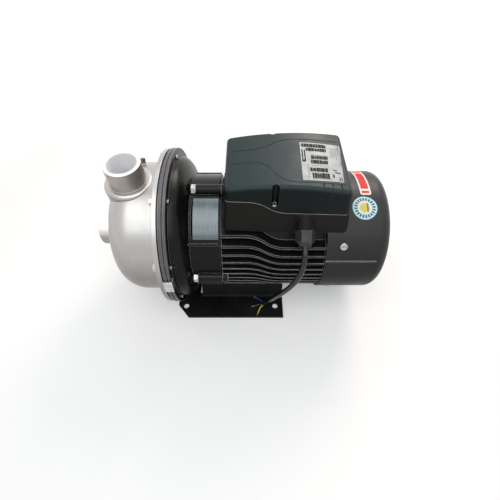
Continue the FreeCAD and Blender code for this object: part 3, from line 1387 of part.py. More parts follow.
def build():
    """All sub-parts by name."""
    seats = plug_seats()
    floor = -shaft_height + foot_sheet + conductor_radius + 0.1
    blue = [Vector(54.5, -74.5, floor + 4.0), Vector(46.0, -68.0, floor)]
    brown = [Vector(52.5, -84.0, floor + 4.5), Vector(42.5, -85.5, floor + 0.3)]
    earth = [Vector(55.0, -88.6, floor + 4.5), Vector(50.0, -99.0, floor)]
    return {
        "pump_casing": casing_with_bosses(),
        "suction_socket": suction_socket(),
        "discharge_socket": discharge_socket(),
        "priming_plug": plug(*seats[0]),
        "drain_plug": plug(*seats[1]),
        "casing_gasket": casing_gasket(),
        "seal_plate": seal_plate_shape(),
        "seal_seat": seal_seat(),
        "seal_head": seal_head(),
        "impeller": impeller(),
        "impeller_key": key_shape(0.0),
        "impeller_nut": impeller_nut(),
        "diffuser": diffuser(),
        "wear_ring": wear_ring(),
        "flange_bolts": flange_bolts(),
        "flange_clip": flange_clip(),
        "motor_bracket": motor_bracket(),
        "front_shaft_guard": shaft_guard(window_low - guard_overlap, window_high + guard_overlap),
        "rear_shaft_guard": shaft_guard(rear_window_low - guard_overlap, rear_window_high + guard_overlap),
        "bracket_bolts": bracket_bolts(),
        "stator_housing": stator_housing(),
        "stator_core": stator_core(),
        "stator_winding": stator_winding(),
        "rotor_core": rotor_core(),
        "shaft": shaft(),
        "front_bearing_outer": bearing_outer(front_bearing_x, bearing_width, front_bearing),
        "front_bearing_inner": bearing_inner(front_bearing_x, bearing_width, front_journal, front_bearing),
        "rear_bearing_outer": bearing_outer(rear_bearing_x, rear_bearing_width, rear_bearing),
        "rear_bearing_inner": bearing_inner(rear_bearing_x, rear_bearing_width, rear_journal, rear_bearing),
        "water_slinger": slinger(),
        "rear_endshield": rear_endshield(),
        "endshield_screws": endshield_screws(),
        "fan_cover": fan_cover(),
        "fan_cover_screws": fan_cover_screws(),
        "cooling_fan": cooling_fan(),
        "fan_circlip": fan_circlip(),
        "terminal_box_base": terminal_box_base(),
        "terminal_box_cover": terminal_box_cover(),
        "terminal_box_gasket": box_gasket_shape(),
        "terminal_box_screws": box_screws(),
        "capacitor": capacitor(),
        "terminal_block": terminal_block(),
        "gland_body": gland_body(),
        "gland_nut": gland_nut(),
        "gland_seal": gland_seal(),
        "power_cord": cord_tube(cord_points(), cord_radius),
        "conductor_blue": cord_tube(conductor_points(-1.5, 1.0, blue), conductor_radius),
        "conductor_brown": cord_tube(conductor_points(0.2, -1.7, brown), conductor_radius),
        "conductor_earth": cord_tube(conductor_points(1.6, 0.9, earth), conductor_radius),
        "motor_foot": motor_foot(),
        "foot_screws": foot_screws(),
    }


os.makedirs("parts", exist_ok=True)
for part_name, part_shape in build().items():
    save(part_name, part_shape)
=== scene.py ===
import json
import math
import random

import bmesh
import bpy
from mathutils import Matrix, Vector
from mathutils.bvhtree import BVHTree


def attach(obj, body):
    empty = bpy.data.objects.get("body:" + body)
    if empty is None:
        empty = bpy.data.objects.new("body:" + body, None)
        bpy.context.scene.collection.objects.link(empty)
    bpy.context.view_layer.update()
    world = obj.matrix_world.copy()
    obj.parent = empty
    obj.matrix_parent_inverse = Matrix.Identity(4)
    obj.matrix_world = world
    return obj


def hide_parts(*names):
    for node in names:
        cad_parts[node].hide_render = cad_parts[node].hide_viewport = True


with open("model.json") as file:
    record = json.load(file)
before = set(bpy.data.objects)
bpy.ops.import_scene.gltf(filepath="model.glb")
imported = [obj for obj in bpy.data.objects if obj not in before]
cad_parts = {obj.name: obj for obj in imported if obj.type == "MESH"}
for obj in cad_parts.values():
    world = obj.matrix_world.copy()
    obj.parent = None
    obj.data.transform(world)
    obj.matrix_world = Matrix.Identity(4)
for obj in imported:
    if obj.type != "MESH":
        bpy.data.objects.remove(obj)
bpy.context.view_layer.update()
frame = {"nodes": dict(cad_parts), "record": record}
nodes = frame["nodes"]

# The frame of the model: metres, X along the shaft, the floor at Z = 0.
shaft_height = 0.128
wet_end_height = shaft_height + 0.008        # axis of the inlet, the casing and the bracket's disc

# Camera
camera_place = (0.033, -0.323, 0.5466)
camera_pitch = 33.8               # degrees between the line of sight and straight down
camera_lens = 22.68
camera_shift = 0.003

# Light: for each lamp its place, what it faces, its two sides, its power and its colour
room_strength = 0.35
room_tint = (0.97, 0.985, 1.0, 1.0)
backdrop = (1.0, 1.0, 1.0, 1.0)
lamps = {
    "sky_lamp": ((0.1, 1.1, 1.9), (0.0, 0.0, 0.15), 1.2, 1.2, 6.5, (0.86, 0.96, 1.0)),
    "top_lamp": ((-0.1, -0.52, 1.95), (0.0, 0.0, 0.12), 2.2, 1.15, 14.0, (1.0, 0.99, 0.98)),
    "front_lamp": ((-0.1, -1.25, 1.50), (0.0, 0.0, 0.14), 2.4, 0.35, 4.5, (0.92, 0.98, 1.0)),
    "side_lamp": ((0.60, 1.10, 1.15), (-0.065, 0.0, 0.235), 0.6, 0.6, 9.0, (1.0, 0.84, 0.72)),
}

# Floor
floor_half = 8.0
floor_drop = 0.0002               # below the foot, so that the two faces don't meet
floor_paint = (0.86, 0.86, 0.86, 1.0)
floor_roughness = 0.9
floor_glow = 0.24                 # added to the floor beside the pump
glow_start = 0.6                  # distance at which the glow begins to rise to the backdrop's
glow_end = 2.4

# Noise, and edges lightened as wear and painted highlight, by the cosine between the rounded and the plain
# normal on an edge and on a face
noise_roughness = 0.55
gloss_ratio = 2.3                 # how much finer the gloss of a general finish varies than its colour
edge_cosine = 0.90
face_cosine = 0.985
wear_scale = 140.0                # fineness of the patches in which edges are lightened, as wear and painted highlight

# Cord, in metres, as in the CAD source
cord_diameter = 0.008
cord_resolution = 8               # of its round section
cord_steps = 12                   # between two points of its line
gland_dip = math.radians(35.0)
gland_axis = Vector((0.0, -math.cos(gland_dip), -math.sin(gland_dip)))
gland_face = Vector((0.109, -0.0665, 0.0826 + shaft_height))
gland_reach = 0.02165             # from the box's gland face to the end of the nut's nose
cord_lead = 0.0105                # straight run in front of the nose
cord_route = [(0.1083, -0.1002, 0.1844), (0.1069, -0.1057, 0.17504), (0.1047, -0.1091, 0.16461),
              (0.1007, -0.1107, 0.14924), (0.0946, -0.1104, 0.13051), (0.0868, -0.1079, 0.1086),
              (0.0786, -0.1033, 0.0851), (0.0709, -0.0977, 0.06072), (0.0648, -0.0917, 0.03758),
              (0.0608, -0.0876, 0.0215)]

# Bare strands at the conductors' ends: the end of each conductor and its heading
copper_tips = {
    "copper_tip_blue": ((0.0460, -0.0680, 0.0053), (-8.5, 6.5, -0.6)),
    "copper_tip_brown": ((0.0425, -0.0855, 0.0056), (-10.0, -1.5, -0.6)),
    "copper_tip_earth": ((0.0500, -0.0990, 0.0053), (-5.0, -10.4, -0.6)),
}
strand_count = 7                  # six round one in the middle
strand_radius = 0.00024
strand_ring = 0.00052             # from the tip's middle to the outer strands
strand_length = 0.0045
strand_start = 0.0004             # hidden inside the insulation
strand_twist = 0.6                # turns over the tip's length
strand_steps = 9
strand_sides = 6

# Ports: a point on each axis, and a radius between the bore and the collar's outside
discharge_x = -0.1335
discharge_axis = (discharge_x, 0.0, 0.0)
suction_axis = (0.0, 0.0, wet_end_height)
bore_limit = 0.0243
rim_reflection_start = 0.1222           # radius from which the bracket's disc rim is lightened as a painted reflection

# Weld beads: for each its middle, its axis, the ring's radius, its section's radius and its drops
welds = {
    "discharge_weld": ((discharge_x, 0.0, 0.1102 + shaft_height), (0.0, 0.0, 1.0), 0.0252, 0.0008, 112),
    "suction_weld": ((-0.1721, 0.0, wet_end_height), (1.0, 0.0, 0.0), 0.0331, 0.0010, 140),
}
weld_swell = 0.13                 # share by which a drop stands out and the place between two sinks in
weld_sides = 10

# Fan cover and its stickers
cover_radius = 0.094
sticker_lift = 0.00025
sticker_rows = 48
sticker_columns = 12
round_sticker_x = 0.1943
round_sticker_angle = 70.4        # degrees above the front side
round_sticker_radius = 0.0173
red_sticker_x = 0.1985
red_sticker_angle = 103.0
red_sticker_width = 0.0155
red_sticker_length = 0.067
red_sticker_corner = 0.0035
patch_end = 0.9995                # leaves the last row of a round film a little width

# Rating plate on the box cover: its corners seen from above, how thick it is, and its blank print
plate_corners = [(0.1006, 0.0300), (0.1550, 0.0291), (0.1499, -0.0412), (0.0990, -0.0415)]
plate_lift = 0.0003
print_lift = 0.0002
plate_cell = 0.04                 # share of the plate that one flat face may span
above_everything = 0.5            # height from which the plate is dropped onto the cover
# Rows and bars are (u low, u high, v low, v high), u along the box and v from the plate's far edge
print_rows = [(0.04, 0.64, 0.035, 0.13), (0.14, 0.64, 0.15, 0.24), (0.25, 0.66, 0.36, 0.45),
              (0.24, 0.66, 0.475, 0.575), (0.20, 0.66, 0.68, 0.78), (0.24, 0.66, 0.81, 0.94)]
print_bars = [(0.03, 0.06, 0.20, 0.53), (0.09, 0.12, 0.20, 0.53), (0.06, 0.09, 0.48, 0.53),
              (0.76, 0.86, 0.70, 0.72), (0.80, 0.94, 0.76, 0.785), (0.74, 0.78, 0.82, 0.90),
              (0.90, 0.92, 0.88, 0.97), (0.945, 0.965, 0.88, 0.97)]
cell_seed = 4
cell_widths = (0.035, 0.095)
cell_insets = (0.0, 0.0, 0.0, 0.010)         # about one cell in four is smaller than its row
cell_spaces = (0.004, 0.011)
cell_least = 0.02                 # space at a row's end that is too short for one more cell
row_rules = (0.34, 0.62, 0.95)    # v of the thin lines between the rows
row_rule_span = (0.24, 0.68)
row_rule_height = 0.006
side_rules = ((0.74, 0.24), (0.785, 0.30), (0.83, 0.26), (0.875, 0.33), (0.92, 0.22))     # u and length
side_rule_start = 0.09
side_rule_width = 0.012
side_ticks = (0.60, 0.66, 0.72, 0.78, 0.84, 0.90)
side_tick_span = (0.14, 0.18)
side_tick_height = 0.02


# Node helpers

def add(tree, kind, **values):
    """A node with its settings and unlinked input values."""
    made = tree.nodes.new("ShaderNode" + kind)
    for name, value in values.items():
        if hasattr(made, name):
            setattr(made, name, value)
        else:
            made.inputs[name.replace("_", " ")].default_value = value
    return made


def start(name, metallic=0.0, specular=0.5):
    """Empty node material with a Principled shader."""
    material = bpy.data.materials.new(name)
    material.use_nodes = True
    tree = material.node_tree
    tree.nodes.clear()
    output = add(tree, "OutputMaterial")
    principled = add(tree, "BsdfPrincipled", Metallic=metallic, Specular_IOR_Level=specular)
    tree.links.new(principled.outputs["BSDF"], output.inputs["Surface"])
    return material, tree, principled


def noise(tree, scale, detail=3.0, stretch=(1.0, 1.0, 1.0)):
    """Noise in metres, stretched along an axis where that is wanted."""
    place = add(tree, "TexCoord")
    mapping = add(tree, "Mapping", Scale=stretch)
    tree.links.new(place.outputs["Object"], mapping.inputs["Vector"])
    texture = add(tree, "TexNoise", Scale=scale, Detail=detail, Roughness=noise_roughness)
    tree.links.new(mapping.outputs["Vector"], texture.inputs["Vector"])
    return texture.outputs["Fac"]


def ranged(tree, value, low, high, from_low=0.3, from_high=0.7):
    """Value mapped from one range, a noise's usual one by default, to another."""
    mapped = add(tree, "MapRange", From_Min=from_low, From_Max=from_high, To_Min=low, To_Max=high)
    tree.links.new(value, mapped.inputs["Value"])
    return mapped.outputs["Result"]


def maths(tree, operation, first, second=0.0):
    """Arithmetic on outputs and numbers."""
    made = add(tree, "Math", operation=operation)
    for index, value in enumerate((first, second)):
        if isinstance(value, (int, float)):
            made.inputs[index].default_value = value
        else:
            tree.links.new(value, made.inputs[index])
    return made.outputs[0]


def mixed(tree, factor, first, second):
    """Colour between two colours or colour outputs."""
    made = add(tree, "Mix", data_type="RGBA")
    tree.links.new(factor, made.inputs["Factor"])
    for socket, value in ((made.inputs[6], first), (made.inputs[7], second)):
        if isinstance(value, tuple):
            socket.default_value = (*value, 1.0)
        else:
            tree.links.new(value, socket)
    return made.outputs[2]


def drift(tree, scale, detail=4.0):
    """Share that drifts between zero and one in patches."""
    return ranged(tree, noise(tree, scale, detail), 0.0, 1.0)


def soft_normal(tree, radius):
    """Normal with the edges rounded by a radius."""
    bevel = add(tree, "Bevel", samples=6, Radius=radius)
    return bevel.outputs["Normal"]


def edge_mask(tree, rounded):
    """White on edges and black elsewhere, from the rounded normal against the plain one."""
    plain = add(tree, "NewGeometry")
    product = add(tree, "VectorMath", operation="DOT_PRODUCT")
    tree.links.new(rounded, product.inputs[0])
    tree.links.new(plain.outputs["Normal"], product.inputs[1])
    return ranged(tree, product.outputs["Value"], 1.0, 0.0, edge_cosine, face_cosine)


def worn_and_highlit_edges(tree, paint, rounded, bare, wear):
    """Paint with its edges lightened to another colour, partly wear and partly a painted highlight, in each
    patch by a share from the wear up to one.
    """
    # bare is the edge colour: partly worn paint, partly a painted highlight on the edges
    patches = ranged(tree, noise(tree, wear_scale), wear, 1.0)
    return mixed(tree, maths(tree, "MULTIPLY", edge_mask(tree, rounded), patches), paint, bare)


def bumped(tree, principled, layers, rounded=None):
    """Chain of bumps, (height, depth in metres, strength) each, into the shader's normal."""
    normal = rounded
    for height, depth, strength in layers:
        bump = add(tree, "Bump", Distance=depth, Strength=strength)
        tree.links.new(height, bump.inputs["Height"])
        if normal is not None:
            tree.links.new(normal, bump.inputs["Normal"])
        normal = bump.outputs["Normal"]
    tree.links.new(normal, principled.inputs["Normal"])


def facing_up(tree, low, high):
    """One on faces that look up and zero on upright ones."""
    normal = add(tree, "NewGeometry")
    parts = add(tree, "SeparateXYZ")
    tree.links.new(normal.outputs["Normal"], parts.inputs["Vector"])
    return ranged(tree, parts.outputs["Z"], 0.0, 1.0, low, high)


def away_from(tree, axis_point, across, limit):
    """One where the surface lies further than a limit from an axis, measured across it."""
    place = add(tree, "TexCoord")
    offset = add(tree, "VectorMath", operation="SUBTRACT")
    tree.links.new(place.outputs["Object"], offset.inputs[0])
    offset.inputs[1].default_value = axis_point
    flat = add(tree, "VectorMath", operation="MULTIPLY")
    tree.links.new(offset.outputs["Vector"], flat.inputs[0])
    flat.inputs[1].default_value = across
    length = add(tree, "VectorMath", operation="LENGTH")
    tree.links.new(flat.outputs["Vector"], length.inputs[0])
    return maths(tree, "GREATER_THAN", length.outputs["Value"], limit)


def paint_with(tree, principled, colour, roughness, *specular):
    """Links the shader's colour, its roughness and, where one is given, its specular level."""
    tree.links.new(colour, principled.inputs["Base Color"])
    tree.links.new(roughness, principled.inputs["Roughness"])
    for level in specular:
        tree.links.new(level, principled.inputs["Specular IOR Level"])


def surface(name, colour, other, roughness, metallic=0.0, patch=30.0, grain=900.0, depth=0.00003,
            strength=0.5, stretch=(1.0, 1.0, 1.0), edge=None, edge_radius=0.0006, wear=0.35, specular=0.5):
    """General finish: cloudy colour, uneven gloss, fine grain and, where an edge colour is given, edges
    lightened to it as wear and painted highlight.
    """
    material, tree, principled = start(name, metallic, specular)
    paint = mixed(tree, drift(tree, patch), colour, other)
    rounded = soft_normal(tree, edge_radius)
    if edge is not None:
        paint = worn_and_highlit_edges(tree, paint, rounded, edge, wear)
    gloss = noise(tree, patch * gloss_ratio, 5.0, stretch)
    paint_with(tree, principled, paint, ranged(tree, gloss, *roughness))
    bumped(tree, principled, [(noise(tree, grain, 3.0, stretch), depth, strength)], rounded)
    return material


# Materials of the CAD nodes, by the record's slot

dark = (0.0045, 0.0044, 0.0043)
dark_worn = (0.0080, 0.0078, 0.0075)
across_upright = (1.0, 1.0, 0.0)  # keeps what lies across an upright axis
across_shaft = (0.0, 1.0, 1.0)    # keeps what lies across an axis along X


def stainless_casing():
    """Pressed and pickled sheet: satin, with a painted highlight on top and painted shade, duller and
    warmer, down its sides.
    """
    material, tree, principled = start("stainless_casing", 1.0)
    rounded = soft_normal(tree, 0.0010)
    cloud = drift(tree, 14.0)
    # bright is a painted highlight on faces that look up; the darker, warmer tone down the sides is painted
    # shade
    bright = mixed(tree, cloud, (0.54, 0.53, 0.52), (0.47, 0.46, 0.45))
    painted_shade_tone = mixed(tree, cloud, (0.34, 0.315, 0.295), (0.28, 0.26, 0.245))
    sheet = mixed(tree, facing_up(tree, 0.05, 0.75), painted_shade_tone, bright)
    drawn = (1.6, 1.0, 1.0)
    paint_with(tree, principled, worn_and_highlit_edges(tree, sheet, rounded, (0.72, 0.71, 0.69), 0.35),
               ranged(tree, noise(tree, 32.0, 5.0, drawn), 0.30, 0.42))
    bumped(tree, principled, [(noise(tree, 1500.0, 3.0, drawn), 0.00002, 0.35)], rounded)
    return material


def stainless_socket():
    """Machined collar: blasted dark wall; its rim and bore painted near white, a painted highlight on the
    rim and painted light in the bore.
    """
    material, tree, principled = start("stainless_socket")
    outside = maths(tree, "MINIMUM", away_from(tree, discharge_axis, across_upright, bore_limit),
                    away_from(tree, suction_axis, across_shaft, bore_limit))
    bore = maths(tree, "SUBTRACT", 1.0, outside)
    wall = mixed(tree, drift(tree, 40.0, 3.0), (0.42, 0.39, 0.37), (0.34, 0.31, 0.295))
    # the near-white rim and bore are painted light: a painted highlight on the rim and a painted lit bore
    painted_light_share = maths(tree, "MAXIMUM", facing_up(tree, 0.25, 0.8), bore)
    paint_with(tree, principled, mixed(tree, painted_light_share, wall, (0.98, 0.98, 1.0)),
               ranged(tree, noise(tree, 120.0), 0.38, 0.55))
    tree.links.new(outside, principled.inputs["Metallic"])
    blasted = noise(tree, 700.0, 3.0, (1.0, 1.0, 4.0))
    bumped(tree, principled, [(blasted, 0.00003, 0.5)], soft_normal(tree, 0.0008))
    return material


def zinc_fastener():
    """Bright zinc with a painted highlight on its edges and painted shade in slots and at the foot of each
    head.
    """
    material, tree, principled = start("zinc_fastener", 1.0)
    rounded = soft_normal(tree, 0.0005)
    zinc = mixed(tree, drift(tree, 90.0), (0.50, 0.50, 0.49), (0.38, 0.38, 0.37))
    # bright is the zinc with a painted highlight on its edges
    bright = mixed(tree, edge_mask(tree, rounded), zinc, (0.92, 0.92, 0.91))
    # the darkening from ambient occlusion is painted shade in slots and at the foot of each head
    recess = add(tree, "AmbientOcclusion", samples=8, Distance=0.0016)
    painted_recess_shade = ranged(tree, recess.outputs["AO"], 1.0, 0.0, 0.45, 0.85)
    paint_with(tree, principled, mixed(tree, painted_recess_shade, bright, (0.015, 0.014, 0.013)),
               ranged(tree, noise(tree, 200.0, 5.0), 0.20, 0.34))
    bumped(tree, principled, [(noise(tree, 1200.0), 0.00002, 0.3)], rounded)
    return material


def polished_guard():
    """Rolled bright sheet with fine vertical scratches, with a painted highlight where it faces up and
    painted shade down its sides.
    """
    material, tree, principled = start("polished_guard", 1.0)
    streaks = noise(tree, 300.0, 4.0, (6.0, 0.15, 0.15))
    share = ranged(tree, streaks, 0.0, 1.0)
    # bright is a painted highlight where the sheet faces up; the dark tone down its sides is painted shade
    bright = mixed(tree, share, (0.095, 0.115, 0.125), (0.14, 0.16, 0.17))
    painted_shade_tone = mixed(tree, share, (0.038, 0.036, 0.038), (0.060, 0.056, 0.058))
    paint_with(tree, principled, mixed(tree, facing_up(tree, 0.1, 0.6), painted_shade_tone, bright),
               ranged(tree, streaks, 0.22, 0.32))
    bumped(tree, principled, [(streaks, 0.000012, 0.2), (noise(tree, 40.0), 0.0002, 0.15)])
    return material


def black_casting():
    """Glossy black paint on the bracket, lightened on the disc's rim as a painted reflection."""
    material, tree, principled = start("black_casting")
    rounded = soft_normal(tree, 0.0007)
    cloud = drift(tree, 22.0)
    black = mixed(tree, cloud, dark, dark_worn)
    # bare is not bare metal: the lighter rim colour is a painted reflection
    bare = mixed(tree, cloud, (0.12, 0.118, 0.13), (0.18, 0.176, 0.19))
    paint = mixed(tree, away_from(tree, suction_axis, across_shaft, rim_reflection_start), black, bare)
    # the pale edge colour is a painted highlight along ribs and lugs, with some wear
    paint_with(tree, principled, worn_and_highlit_edges(tree, paint, rounded, (0.46, 0.46, 0.45), 0.7),
               ranged(tree, noise(tree, 50.0, 5.0), 0.22, 0.32),
               ranged(tree, facing_up(tree, 0.1, 0.8), 0.08, 0.20, 0.0, 1.0))
    bumped(tree, principled, [(noise(tree, 700.0), 0.00004, 0.3)], rounded)
    return material


def box_cover_plastic():
    """Moulded cover: near black on its upright faces, teal grey where it faces up as a painted sheen."""
    material, tree, principled = start("box_cover_plastic")
    # the teal specular tint paints the sky's colour into its reflections
    principled.inputs["Specular Tint"].default_value = (0.78, 0.98, 1.0, 1.0)
    rounded = soft_normal(tree, 0.0006)
    up = facing_up(tree, 0.15, 0.75)
    cloud = drift(tree, 14.0)
    upright = mixed(tree, cloud, (0.0030, 0.0036, 0.0037), (0.0048, 0.0056, 0.0057))
    # the teal grey of faces that look up is a painted sheen of the sky, not dust
    painted_top_light = mixed(tree, cloud, (0.0085, 0.0145, 0.0160), (0.0135, 0.0205, 0.0225))
    paint_with(tree, principled,
               worn_and_highlit_edges(tree, mixed(tree, up, upright, painted_top_light), rounded, (0.12, 0.13, 0.13), 0.35),
               ranged(tree, noise(tree, 32.0, 5.0), 0.36, 0.48),
               ranged(tree, up, 0.14, 0.32, 0.0, 1.0))
    bumped(tree, principled, [(noise(tree, 1300.0), 0.00004, 0.45)], rounded)
    return material


def fan_cover_black():
    """Painted sheet cover: matt black down its sides, greyer where it faces up as a painted sheen, with a
    painted highlight along its edges.
    """
    material, tree, principled = start("fan_cover_black")
    rounded = soft_normal(tree, 0.0007)
    up = facing_up(tree, 0.05, 0.75)
    cloud = drift(tree, 12.0)
    upright = mixed(tree, cloud, (0.0095, 0.0090, 0.0088), (0.0130, 0.0124, 0.0120))
    # the greyer tone where the cover faces up is a painted sheen, not dust
    painted_top_light = mixed(tree, cloud, (0.0300, 0.0290, 0.0305), (0.0390, 0.0378, 0.0395))
    paint_with(tree, principled,
               # the near-white edge colour is a painted highlight along the cover's edges and ridge
               mixed(tree, edge_mask(tree, rounded), mixed(tree, up, upright, painted_top_light), (0.76, 0.76, 0.76)),
               ranged(tree, noise(tree, 28.0, 5.0), 0.34, 0.44),
               ranged(tree, up, 0.12, 0.26, 0.0, 1.0))
    bumped(tree, principled, [(noise(tree, 1100.0), 0.00003, 0.35)], rounded)
    return material


def lamination():
    """Stacked sheet: fine rings across the shaft's direction."""
    material, tree, principled = start("lamination", 0.8)
    place = add(tree, "TexCoord")
    wave = add(tree, "TexWave", wave_type="BANDS", bands_direction="X", Scale=320.0, Distortion=0.2)
    tree.links.new(place.outputs["Object"], wave.inputs["Vector"])
    sheets = wave.outputs["Fac"]
    paint_with(tree, principled, mixed(tree, sheets, (0.12, 0.12, 0.125), (0.30, 0.30, 0.31)),
               ranged(tree, noise(tree, 60.0), 0.4, 0.6))
    bumped(tree, principled, [(sheets, 0.0001, 0.5)])
    return material


def copper_winding():
    """Varnished wire bundles laced round the overhang."""
    material, tree, principled = start("copper_winding", 0.6)
    strands = noise(tree, 500.0, 3.0, (0.3, 1.0, 1.0))
    wire = mixed(tree, ranged(tree, strands, 0.0, 1.0), (0.30, 0.09, 0.03), (0.60, 0.26, 0.10))
    paint_with(tree, principled, wire, ranged(tree, strands, 0.30, 0.5))
    bumped(tree, principled, [(strands, 0.0004, 0.6)])
    return material


def earth_wire():
    """Insulation with a yellow and a green side."""
    material, tree, principled = start("wire_earth")
    place = add(tree, "TexCoord")
    wave = add(tree, "TexWave", wave_type="BANDS", bands_direction="DIAGONAL", Scale=110.0, Distortion=0.6)
    tree.links.new(place.outputs["Object"], wave.inputs["Vector"])
    side = ranged(tree, wave.outputs["Fac"], 0.0, 1.0, 0.52, 0.60)
    paint_with(tree, principled, mixed(tree, side, (0.75, 0.70, 0.05), (0.05, 0.30, 0.06)),
               ranged(tree, noise(tree, 200.0), 0.4, 0.55))
    bumped(tree, principled, [(noise(tree, 1200.0), 0.00003, 0.3)])
    return material


special_finishes = {
    "stainless_casing": stainless_casing,
    "stainless_socket": stainless_socket,
    "zinc_fastener": zinc_fastener,
    "black_casting": black_casting,
    "polished_guard": polished_guard,
    "lamination": lamination,
    "copper_winding": copper_winding,
    "fan_cover_black": fan_cover_black,
    "box_cover_plastic": box_cover_plastic,
    "wire_earth": earth_wire,
}

# Two colours and the lowest and highest roughness of each general finish, then what else it sets
plain_finishes = {
    "stainless_plate": ((0.26, 0.26, 0.26), (0.20, 0.20, 0.20), (0.28, 0.4), dict(metallic=1.0)),
    "plug_steel": ((0.20, 0.20, 0.20), (0.14, 0.135, 0.13), (0.35, 0.5), dict(metallic=1.0)),
    "gasket_rubber": ((0.012, 0.012, 0.012), (0.02, 0.02, 0.02), (0.6, 0.75), {}),
    "ceramic": ((0.78, 0.77, 0.72), (0.72, 0.70, 0.65), (0.15, 0.25), {}),
    "seal_black": ((0.03, 0.03, 0.03), (0.05, 0.05, 0.05), (0.35, 0.5), {}),
    "diffuser_plastic": ((0.72, 0.71, 0.69), (0.64, 0.63, 0.61), (0.4, 0.55), {}),
    "brass_ring": ((0.65, 0.48, 0.22), (0.55, 0.38, 0.18), (0.2, 0.35), dict(metallic=1.0)),
    "zinc_clip": ((0.70, 0.70, 0.67), (0.42, 0.42, 0.40), (0.22, 0.38), dict(metallic=1.0, patch=160.0)),
    # black_housing's pale edge colour is a painted highlight along the fin tips
    "black_housing": (dark, dark_worn, (0.28, 0.40),
                      dict(patch=25.0, grain=800.0, depth=0.00005, strength=0.4, edge=(0.78, 0.82, 0.86),
                           edge_radius=0.0009, wear=0.75, specular=0.14)),
    "shaft_steel": ((0.56, 0.56, 0.57), (0.48, 0.48, 0.49), (0.2, 0.32),
                    dict(metallic=1.0, stretch=(0.3, 2.0, 2.0))),
    "bearing_steel": ((0.66, 0.66, 0.68), (0.6, 0.6, 0.62), (0.12, 0.22), dict(metallic=1.0)),
    "fan_plastic": ((0.03, 0.03, 0.03), (0.045, 0.045, 0.045), (0.4, 0.55), {}),
    # seam_rubber is pale so that the box's seam shows as a light line, a painted highlight
    "seam_rubber": ((0.70, 0.68, 0.62), (0.52, 0.50, 0.44), (0.4, 0.55), dict(patch=60.0)),
    "box_plastic": ((0.0065, 0.0063, 0.0048), (0.0095, 0.0090, 0.0072), (0.38, 0.50),
                    dict(patch=18.0, grain=1300.0, depth=0.00004, strength=0.45, edge=(0.12, 0.115, 0.10),
                         specular=0.12)),
    "capacitor_can": ((0.70, 0.70, 0.68), (0.64, 0.63, 0.60), (0.35, 0.5), {}),
    "block_plastic": ((0.70, 0.67, 0.58), (0.64, 0.60, 0.50), (0.3, 0.45), {}),
    "gland_plastic": ((0.022, 0.025, 0.027), (0.036, 0.040, 0.042), (0.32, 0.46),
                      dict(patch=80.0, edge=(0.20, 0.21, 0.21), specular=0.35)),
    "cord_sheath": ((0.006, 0.006, 0.006), (0.010, 0.010, 0.0095), (0.12, 0.18),
                    dict(patch=60.0, grain=1500.0, depth=0.00002, strength=0.3, specular=0.42)),
    "wire_blue": ((0.03, 0.13, 0.45), (0.02, 0.10, 0.38), (0.35, 0.5), {}),
    "wire_brown": ((0.16, 0.06, 0.025), (0.12, 0.045, 0.02), (0.35, 0.5), {}),
    "foot_paint": ((0.0045, 0.0048, 0.0050), (0.0110, 0.0118, 0.0125), (0.34, 0.55),
                   dict(patch=28.0, grain=500.0, depth=0.00006, edge=(0.14, 0.15, 0.15), edge_radius=0.0008,
                        specular=0.10)),
}


def make_finishes():
    """Every finish of the CAD nodes by its slot."""
    made = {name: make() for name, make in special_finishes.items()}
    for name, (colour, other, roughness, rest) in plain_finishes.items():
        made[name] = surface(name, colour, other, roughness, **rest)
    return made


finishes = make_finishes()


def dress_nodes():
    """Gives each CAD node the finish of its slot."""
    for part in frame["record"]["subparts"]:
        piece = nodes[part["node"]]
        if not piece.material_slots:
            piece.data.materials.append(finishes[part["material_slot"]])
        for place in piece.material_slots:
            place.material = finishes[part["material_slot"]]


# Camera and lamps

def make_camera():
    """Camera at the photograph's angle."""
    data = bpy.data.cameras.new("camera")
    data.lens = camera_lens
    data.shift_x = camera_shift
    camera = bpy.data.objects.new("camera", data)
    bpy.context.scene.collection.objects.link(camera)
    camera.location = camera_place
    camera.rotation_euler = (math.radians(camera_pitch), 0.0, 0.0)
    bpy.context.scene.camera = camera


def make_lamps():
    """Rectangular area lamps, each facing its target."""
    for name, (place, target, width, height, power, colour) in lamps.items():
        data = bpy.data.lights.new(name, "AREA")
        data.shape = "RECTANGLE"
        data.size = width
        data.size_y = height
        data.energy = power
        data.color = colour
        light = bpy.data.objects.new(name, data)
        bpy.context.scene.collection.objects.link(light)
        light.location = place
        light.rotation_euler = (Vector(target) - Vector(place)).to_track_quat("-Z", "Y").to_euler()


def seen_rays(tree):
    """One for rays from the camera or off a mirror or glass, zero for plain light."""
    path = add(tree, "LightPath")
    rays = maths(tree, "MAXIMUM", path.outputs["Is Camera Ray"], path.outputs["Is Glossy Ray"])
    return maths(tree, "MAXIMUM", rays, path.outputs["Is Transmission Ray"])


def make_room():
    """Plain pale room: white to the camera and in reflections, softer as light."""
    world = bpy.data.worlds.new("room")
    bpy.context.scene.world = world
    world.use_nodes = True
    tree = world.node_tree
    tree.nodes.clear()
    output = add(tree, "OutputWorld")
    seen = add(tree, "Background", Color=backdrop)
    light = add(tree, "Background", Color=room_tint, Strength=room_strength)
    join = add(tree, "MixShader")
    tree.links.new(seen_rays(tree), join.inputs["Fac"])
    tree.links.new(light.outputs["Background"], join.inputs[1])
    tree.links.new(seen.outputs["Background"], join.inputs[2])
    tree.links.new(join.outputs["Shader"], output.inputs["Surface"])


